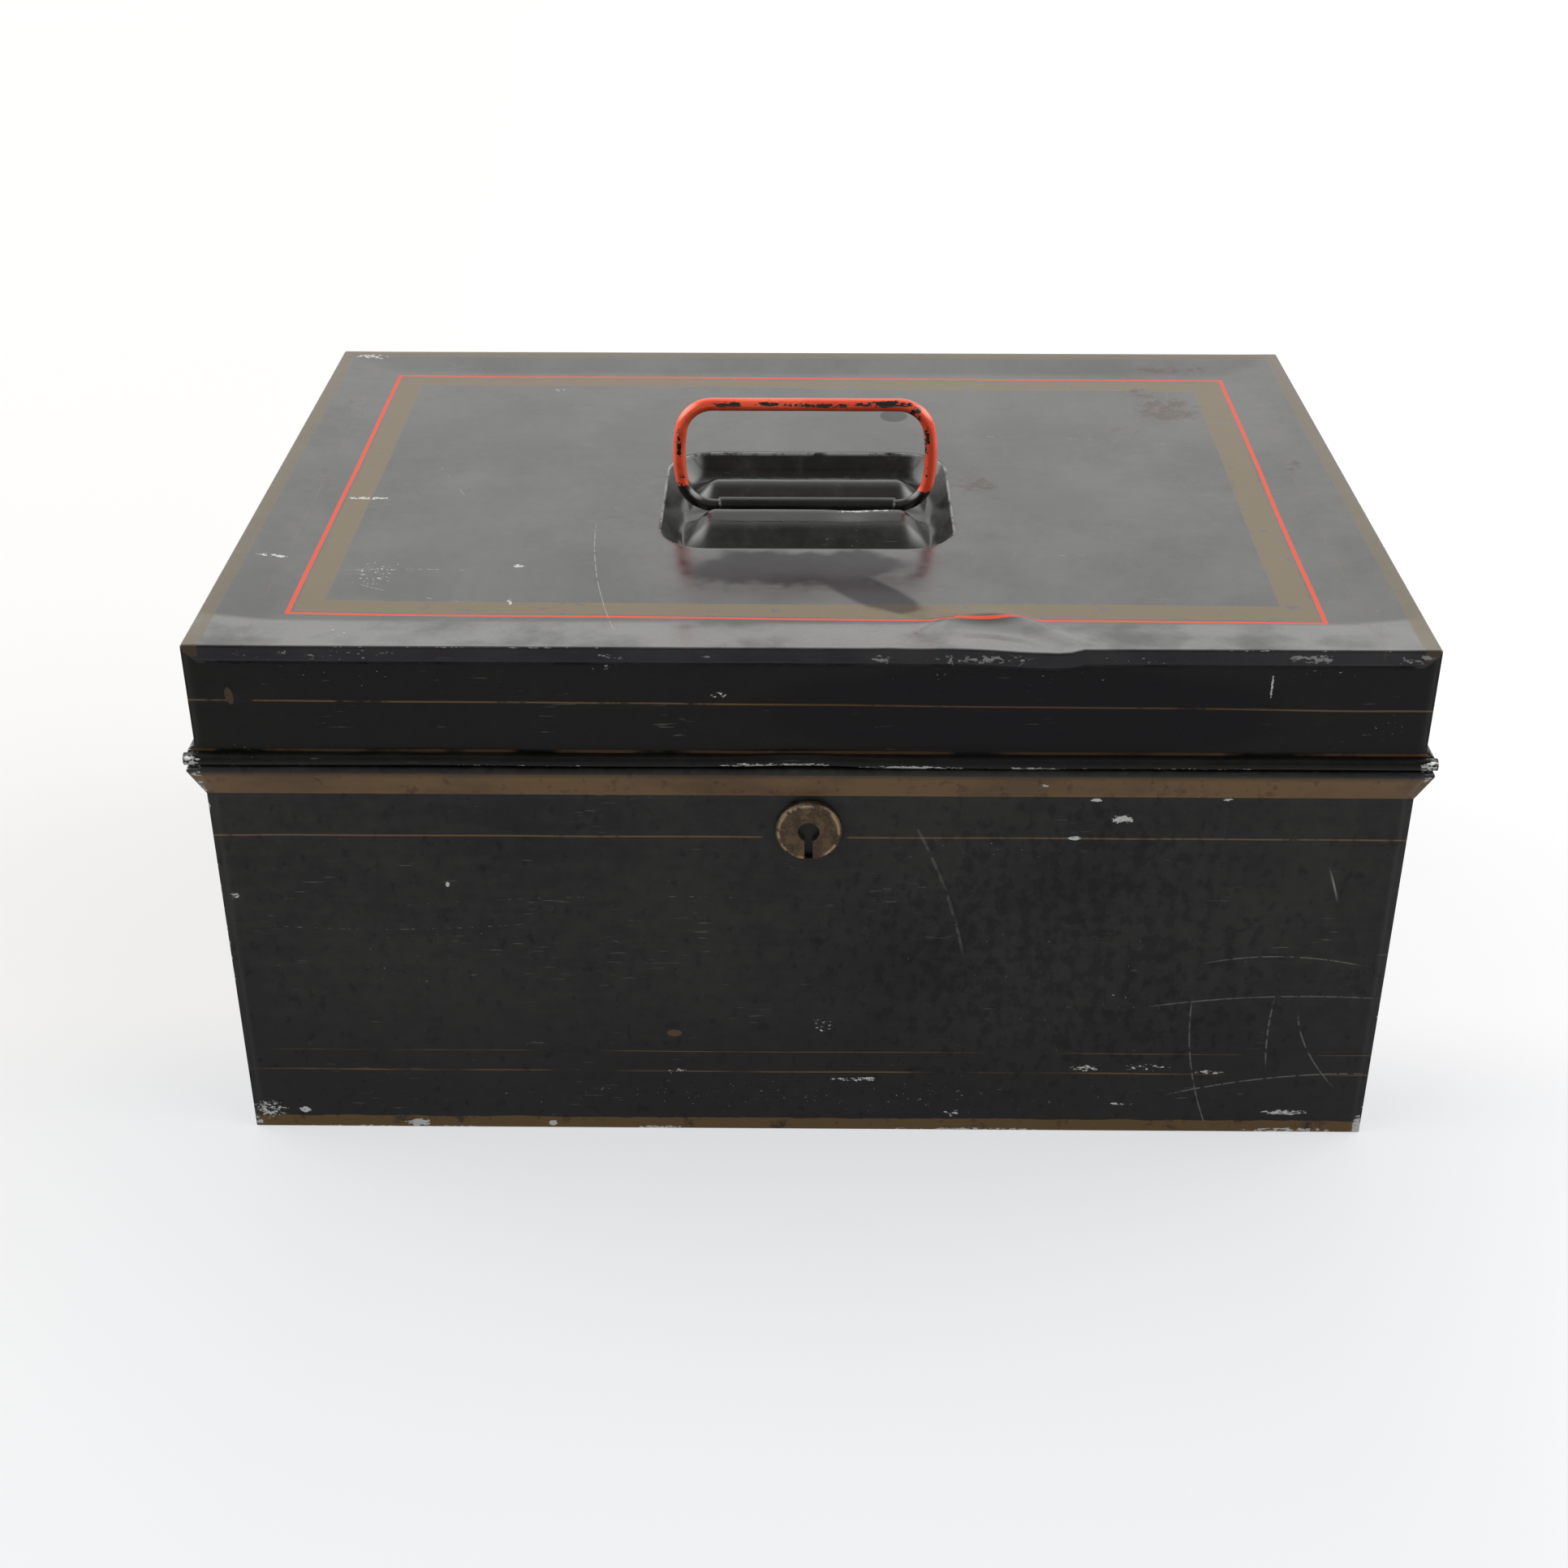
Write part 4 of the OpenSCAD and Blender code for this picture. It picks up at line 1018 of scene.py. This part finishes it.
def top_height(x, y):
    """Height of the lid's sheet: a border sloping in from the rim to the sunken panel."""
    dx = TOP_HALF_W - abs(x)
    dy = TOP_HALF_D - abs(y)
    soft = 0.004
    d = max(-soft * math.log(math.exp(-dx / soft) + math.exp(-dy / soft)), 0.0)
    t = d / BORDER_W
    fall = t if t < 0.8 else 1 - 0.2 * math.exp(-(t - 0.8) / 0.2)
    out = past_recess(x, y)
    inner = ramp((d - 0.004) / 0.03) * ramp(out / 0.035)
    lip = -0.0004 * (1 - min(max(out, 0) / 0.0014, 1)) ** 2
    swell = 0.00050 * ripple(x, y, 0, 0.10, 4.4) + 0.00014 * ripple(x, y, 0, 0.035, 1.4)
    return RIM_Z - PANEL_DROP * min(fall, 1.0) + inner * swell + dent(x, y) + lip


def make_lid_top():
    """Top sheet from the recess opening out to the folded edges, as rings round the opening."""
    per_long, per_short, per_corner = 96, 72, 10
    inner, _ = outline_loop(DISH_HALF_W, DISH_HALF_D, DISH_R, per_long, per_short, per_corner)
    inner = inner + np.array((AXIS_X, AXIS_Y))
    outer, normals = outline_loop(TOP_HALF_W, TOP_HALF_D, TOP_R, per_long, per_short, per_corner)
    n = len(inner)
    shares = [0, 0.004, 0.008, 0.013] + list(np.linspace(0.02, 1, 66))
    rings = len(shares) - 1
    points = []
    for s in shares:
        blend = inner + (outer - normals * FOLD_R - inner) * s
        points += [(x, y, top_height(x, y)) for x, y in blend]
    edge_z = np.array([top_height(x, y) for x, y in outer - normals * FOLD_R])
    for a in (22.5, 45, 67.5, 90):
        t = math.radians(a)
        ring = outer + normals * FOLD_R * (math.sin(t) - 1)
        points += [(x, y, z - FOLD_R * (1 - math.cos(t))) for (x, y), z in zip(ring, edge_z)]
    from_corner = TOP_HALF_W - np.abs(outer[:, 0])
    on_front = np.abs(normals[:, 1]) > 0.99
    deep = (FOLD_H - 1.2 * MM) * np.clip(from_corner / (5 * MM), 0, 1)
    drop = 0.4 * MM + np.where(on_front, deep, 0)
    for k in (0.5, 1.0):
        points += [(x, y, z - FOLD_R - k * d) for (x, y), z, d in zip(outer, edge_z, drop)]
    total = rings + 1 + 4 + 2
    faces = []
    for i in range(total - 1):
        for j in range(n):
            k = (j + 1) % n
            faces.append((i * n + j, (i + 1) * n + j, (i + 1) * n + k, i * n + k))
    skins, faces, flags = two_skins(points, faces, 0.5 * MM)
    return make_object("lid_top_sheet", skins, faces, LID_BLACK, "lid",
                       ("lid_top",), flags)


# Section of the recess across its two ridges, as (distance from the middle, height), in mm,
# and how much of it is left along the ridges, as (distance from the middle in mm, share).
RIDGE_ALONG = ((0.0, 1.0), (35.8, 1.0), (47.0, 0.0), (80.0, 0.0))
RIDGE_ACROSS = ((0.0, -6.1), (3.3, -6.1), (12.6, 1.0), (14.6, 1.4), (22.6, -0.7), (33.0, -9.5),
                (60.0, -9.5))


def smooth_steps(value, table, softness):
    """Straight-line table with its corners rounded over softness."""
    places = [place * MM for place, _ in table]
    amounts = [amount for _, amount in table]
    offsets = np.linspace(-softness, softness, 9)
    return float(np.mean(np.interp(abs(value) + offsets, places, amounts)))


def ridge_height(y):
    return smooth_steps(y, RIDGE_ACROSS, 1.5 * MM) * MM


def dish_height(x, y):
    """Height of the recess above the panel plane."""
    inside = -past_recess(x, y)
    lip = -0.4 * MM
    wall = 7.5 * MM + 3.5 * MM * ramp((abs(x - AXIS_X) - 0.042) / 0.008)
    fall = 1 - (1 - min(max(inside, 0) / wall, 1)) ** 2.1
    bowl = lip - (DISH_DEPTH + lip) * fall
    along = smooth_steps(x - AXIS_X, RIDGE_ALONG, 2.2 * MM)
    knock = -0.0007 * hump(x, 0.015, 0.007) * hump(y - AXIS_Y, -0.0155, 0.004)
    return bowl + (ridge_height(y - AXIS_Y) + DISH_DEPTH + knock) * along


DISH_FLANGE = (2.5 * MM, 1.2 * MM)
FLANGE_DOWN = 0.75 * MM


def make_dish():
    """Pressed recess with two cross ridges, as rings that close in on its middle line."""
    edge, normals = outline_loop(DISH_HALF_W, DISH_HALF_D, DISH_R, 100, 72, 14)
    centre = np.array((AXIS_X, AXIS_Y))
    core_x = edge[:, 0] * (1 - DISH_HALF_D / DISH_HALF_W)
    core = np.stack([core_x, np.zeros(len(edge))], axis=1)
    n = len(edge)
    points = []
    for flange in DISH_FLANGE:
        points += [(x, y, PANEL_Z - FLANGE_DOWN) for x, y in edge + normals * flange + centre]
    shares = list(np.linspace(0, 1, 91) ** 1.2)
    for s in shares:
        ring = edge + (core - edge) * s + centre
        points += [(x, y, PANEL_Z - 0.15 * MM + dish_height(x, y)
                    + 0.10 * MM * ripple(x, y, 0, 0.018, 3.3)) for x, y in ring]
    faces = []
    for i in range(len(shares) + 1):
        for j in range(n):
            k = (j + 1) % n
            faces.append((i * n + j, i * n + k, (i + 1) * n + k, (i + 1) * n + j))
    skins, faces, flags = two_skins(points, faces, SHEET)
    piece = make_object("handle_recess", skins, faces, DISH_BLACK, "lid",
                        ("handle_dish",), flags)
    shell = bmesh.new()
    shell.from_mesh(piece.data)
    bmesh.ops.remove_doubles(shell, verts=shell.verts, dist=0.000002)
    shell.to_mesh(piece.data)
    shell.free()
    return piece


# ---------------------------------------------------------------- handle

def bail_route():
    """Centre line of the wire: bar in the keeper, rounded corners, bowed legs, straight grip."""
    reach = BAIL[1].z - BAIL[0].z - 2 * WIRE_R
    half = (BAIL[1].x - BAIL[0].x) / 2 - WIRE_R
    bow_r = 60 * MM
    corner_r = 12 * MM
    off = reach / 2 - corner_r
    bow_x = half - bow_r
    corner_x = bow_x + math.sqrt((bow_r - corner_r) ** 2 - off ** 2)
    b = math.degrees(math.asin(off / (bow_r - corner_r)))
    right = arc((corner_x, corner_r), corner_r, -90, -b, 12)
    right += arc((bow_x, reach / 2), bow_r, -b, b, 10)[1:]
    right += arc((corner_x, reach - corner_r), corner_r, b, 90, 12)[1:]
    left = [(-x, z) for x, z in reversed(right)]
    grip = [(corner_x * (1 - 2 * k / 16), reach) for k in range(1, 16)]
    bar = [(-corner_x * (1 - 2 * k / 8), 0.0) for k in range(1, 8)]
    return right + grip + left + bar


def wire_tree():
    """Sweeps a round wire along a curve, with named inputs for its size and finish."""
    tree = bpy.data.node_groups.new("swept_wire", "GeometryNodeTree")
    for name, kind in (("Route", "Geometry"), ("Wire radius", "Float"), ("Sides", "Int"),
                       ("Finish", "Material")):
        tree.interface.new_socket(name, in_out="INPUT", socket_type="NodeSocket" + kind)
    tree.interface.new_socket("Geometry", in_out="OUTPUT", socket_type="NodeSocketGeometry")
    start = add_node(tree, "NodeGroupInput", {}, {}).outputs
    curve = add_node(tree, "GeometryNodeMeshToCurve", {}, {"Mesh": start["Route"]})
    section = add_node(tree, "GeometryNodeCurvePrimitiveCircle", {},
                       {"Resolution": start["Sides"], "Radius": start["Wire radius"]})
    swept = add_node(tree, "GeometryNodeCurveToMesh", {},
                     {"Curve": curve.outputs[0], "Profile Curve": section.outputs[0],
                      "Fill Caps": True})
    smooth = add_node(tree, "GeometryNodeSetShadeSmooth", {}, {"Geometry": swept.outputs[0]})
    real = add_node(tree, "GeometryNodeRealizeInstances", {}, {"Geometry": smooth.outputs[0]})
    painted = add_node(tree, "GeometryNodeSetMaterial", {},
                       {"Geometry": real.outputs[0], "Material": start["Finish"]})
    add_node(tree, "NodeGroupOutput", {}, {"Geometry": painted.outputs[0]})
    return tree


def socket_id(tree, name):
    """Identifier of a tree's named input, which is how a modifier sets it."""
    return next(s.identifier for s in tree.interface.items_tree
                if s.name == name and s.in_out == "INPUT")


def baked(carrier, name, body, replaces=()):
    """The evaluated carrier as a plain mesh piece."""
    graph = bpy.context.evaluated_depsgraph_get()
    graph.update()
    mesh = bpy.data.meshes.new_from_object(carrier.evaluated_get(graph))
    mesh.name = name
    bpy.data.objects.remove(carrier)
    piece = bpy.data.objects.new(name, mesh)
    bpy.context.scene.collection.objects.link(piece)
    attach(piece, body)
    for node in replaces:
        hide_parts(node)
    return piece


def swept_wire(tree, name, route, closed, radius, sides, material, body, replaces):
    mesh = bpy.data.meshes.new(name + "_route")
    count = len(route)
    edges = [(k, (k + 1) % count) for k in range(count if closed else count - 1)]
    mesh.from_pydata([tuple(p) for p in route], edges, [])
    carrier = bpy.data.objects.new(name + "_route", mesh)
    bpy.context.scene.collection.objects.link(carrier)
    maker = carrier.modifiers.new("wire", "NODES")
    maker.node_group = tree
    maker[socket_id(tree, "Wire radius")] = radius
    maker[socket_id(tree, "Sides")] = sides
    maker[socket_id(tree, "Finish")] = material
    return baked(carrier, name, body, replaces)


def make_bail(tree):
    route = []
    shift = (BAIL[0].x + BAIL[1].x) / 2
    for x, z in bail_route():
        sway = 0.0002 * ripple(x, 0, z, 0.02, 5.5) if z > 0.004 else 0.0
        route.append((x + shift, AXIS_Y + sway, AXIS_Z + z))
    return swept_wire(tree, "handle_wire", route, True, WIRE_R, 24, HANDLE_RED, "handle",
                      ("bail_handle",))


def make_front_wire(tree):
    """Edge wire rolled into the front of the lid, bent with it."""
    radius = (WIRE[1].z - WIRE[0].z) / 2
    y = (WIRE[0].y + WIRE[1].y) / 2
    route = [(x, y, BEAD_Z + bead_lift(x)) for x in np.linspace(WIRE[0].x, WIRE[1].x, 121)]
    return swept_wire(tree, "front_edge_wire", route, False, radius, 12, TINNED, "lid",
                      ("lid_wire_front",))


def make_keeper():
    """Strap rolled round the handle's bar, its two edges meeting at the foot."""
    outer_r = 3.05 * MM
    mid = outer_r - 0.3 * MM
    path = [(2.9 * MM, -outer_r + 0.25 * MM), (1.4 * MM, -outer_r + 0.27 * MM)]
    path += arc((0, 0), mid, -66, 246, 40)
    path += [(-1.4 * MM, -outer_r + 0.27 * MM), (-2.9 * MM, -outer_r + 0.25 * MM)]
    outline, flags = thicken(path, 0.3 * MM)
    half = (KEEPER[1].x - KEEPER[0].x) / 2

    def place(t, shape):
        x = np.full(len(shape), AXIS_X + t * half)
        wave = 0.00008 * ripple(t * half, 0, 0, 0.012, 7.7)
        return np.stack([x, AXIS_Y + shape[:, 0], AXIS_Z + shape[:, 1] + wave], axis=1)

    points, faces = sweep(outline[::-1], np.linspace(-1, 1, 41), place)
    return make_object("keeper_strap", points, faces, PART_BLACK, "lid",
                       ("handle_keeper",), np.tile(flags, 41))


# ---------------------------------------------------------------- assembly

def paint_nodes():
    """Better finishes on the frame's own pieces that stay in view."""
    finishes = {
        BACK_BLACK: ("lid_back_rim", "bottom_plate"),
        PART_BLACK: ("hinge_strap_left", "hinge_strap_right", "hinge_rivets"),
        OLD_BRASS: ("escutcheon",),
        LOCK_BRASS: ("lock_barrel", "lock_bolt", "lever_front", "lever_rear"),
        LOCK_STEEL: ("lock_plate", "lock_case", "lever_stud", "lever_springs", "lock_staple"),
        TINNED: ("lid_wire_left", "lid_wire_right", "hinge_wire"),
    }
    for material, names in finishes.items():
        for name in names:
            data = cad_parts[name].data
            data.materials.clear()
            data.materials.append(material)


def make_floor():
    """Pale floor that glows a little as painted light, so that it stays light close to the box;
    the glow is darker to the left and in front of the box, as painted shade.
    """
    f = Finish("floor", Roughness=0.6, IOR=1.1, Emission_Strength=1.0)
    drift = f.noise(0.5, 3.0, 0.6).step(0.55, 0.75) * 0.2
    # painted light: the glow falls off to the left
    glow = f.blend((0.640, 0.634, 0.625), (0.745, 0.745, 0.755), f.x.step(-0.40, 0.32))
    # painted shadow: a darker glow on the floor in front of the box
    shadow_in_front = f.y.step(-0.06, -0.14) * f.x.step(0.42, 0.15) * f.x.step(-0.50, -0.15)
    glow = f.blend(glow, (0.565, 0.572, 0.585), shadow_in_front)
    tone = f.blend((0.152, 0.152, 0.153), (0.145, 0.145, 0.146), drift)
    f.use(Base_Color=tone, Emission_Color=glow)
    reach = 6.0
    corners = [(-reach, -reach, 0), (reach, -reach, 0), (reach, reach, 0), (-reach, reach, 0)]
    mesh = bpy.data.meshes.new("floor")
    mesh.from_pydata(corners, [], [(0, 1, 2, 3)])
    mesh.materials.append(f.material)
    floor = bpy.data.objects.new("floor", mesh)
    bpy.context.scene.collection.objects.link(floor)


def make_surroundings():
    """White studio all round, brighter high behind the box and at its two sides."""
    world = bpy.data.worlds.new("studio")
    bpy.context.scene.world = world
    world.use_nodes = True
    tree = world.node_tree
    coord = add_node(tree, "ShaderNodeTexCoord", {}, {})
    split = add_node(tree, "ShaderNodeSeparateXYZ", {}, {"Vector": coord.outputs["Generated"]})
    x, y, z = (Value(tree, socket) for socket in split.outputs)
    behind = y.step(-0.4, 0.5) * (z.step(0.24, 0.46) * 0.78 + 0.64)
    sides = abs(x).step(0.45, 0.80) * z.step(0.05, 0.35) * y.step(0.85, 0.45) * 5.6
    strength = behind + sides + 0.36
    back = tree.nodes["Background"]
    tree.links.new(strength.socket, back.inputs["Strength"])
    back.inputs["Color"].default_value = (1.0, 0.995, 0.985, 1.0)


make_floor()
make_surroundings()
make_wall(0, "front_wall", "body_front", BODY_BLACK)
make_wall(1, "right_wall", "body_right_end", BODY_BLACK)
make_wall(2, "back_wall", "body_back", BACK_BLACK)
make_wall(3, "left_wall", "body_left_end", BODY_BLACK)
make_rim(0, "front_skirt", "lid_front_rim", SKIRT_BLACK)
make_rim(1, "right_skirt", "lid_right_rim", SKIRT_BLACK)
make_rim(3, "left_skirt", "lid_left_rim", SKIRT_BLACK)
make_lid_top()
make_dish()
WIRE_TREE = wire_tree()
make_bail(WIRE_TREE)
make_front_wire(WIRE_TREE)
make_keeper()
paint_nodes()

bpy.context.view_layer.update()
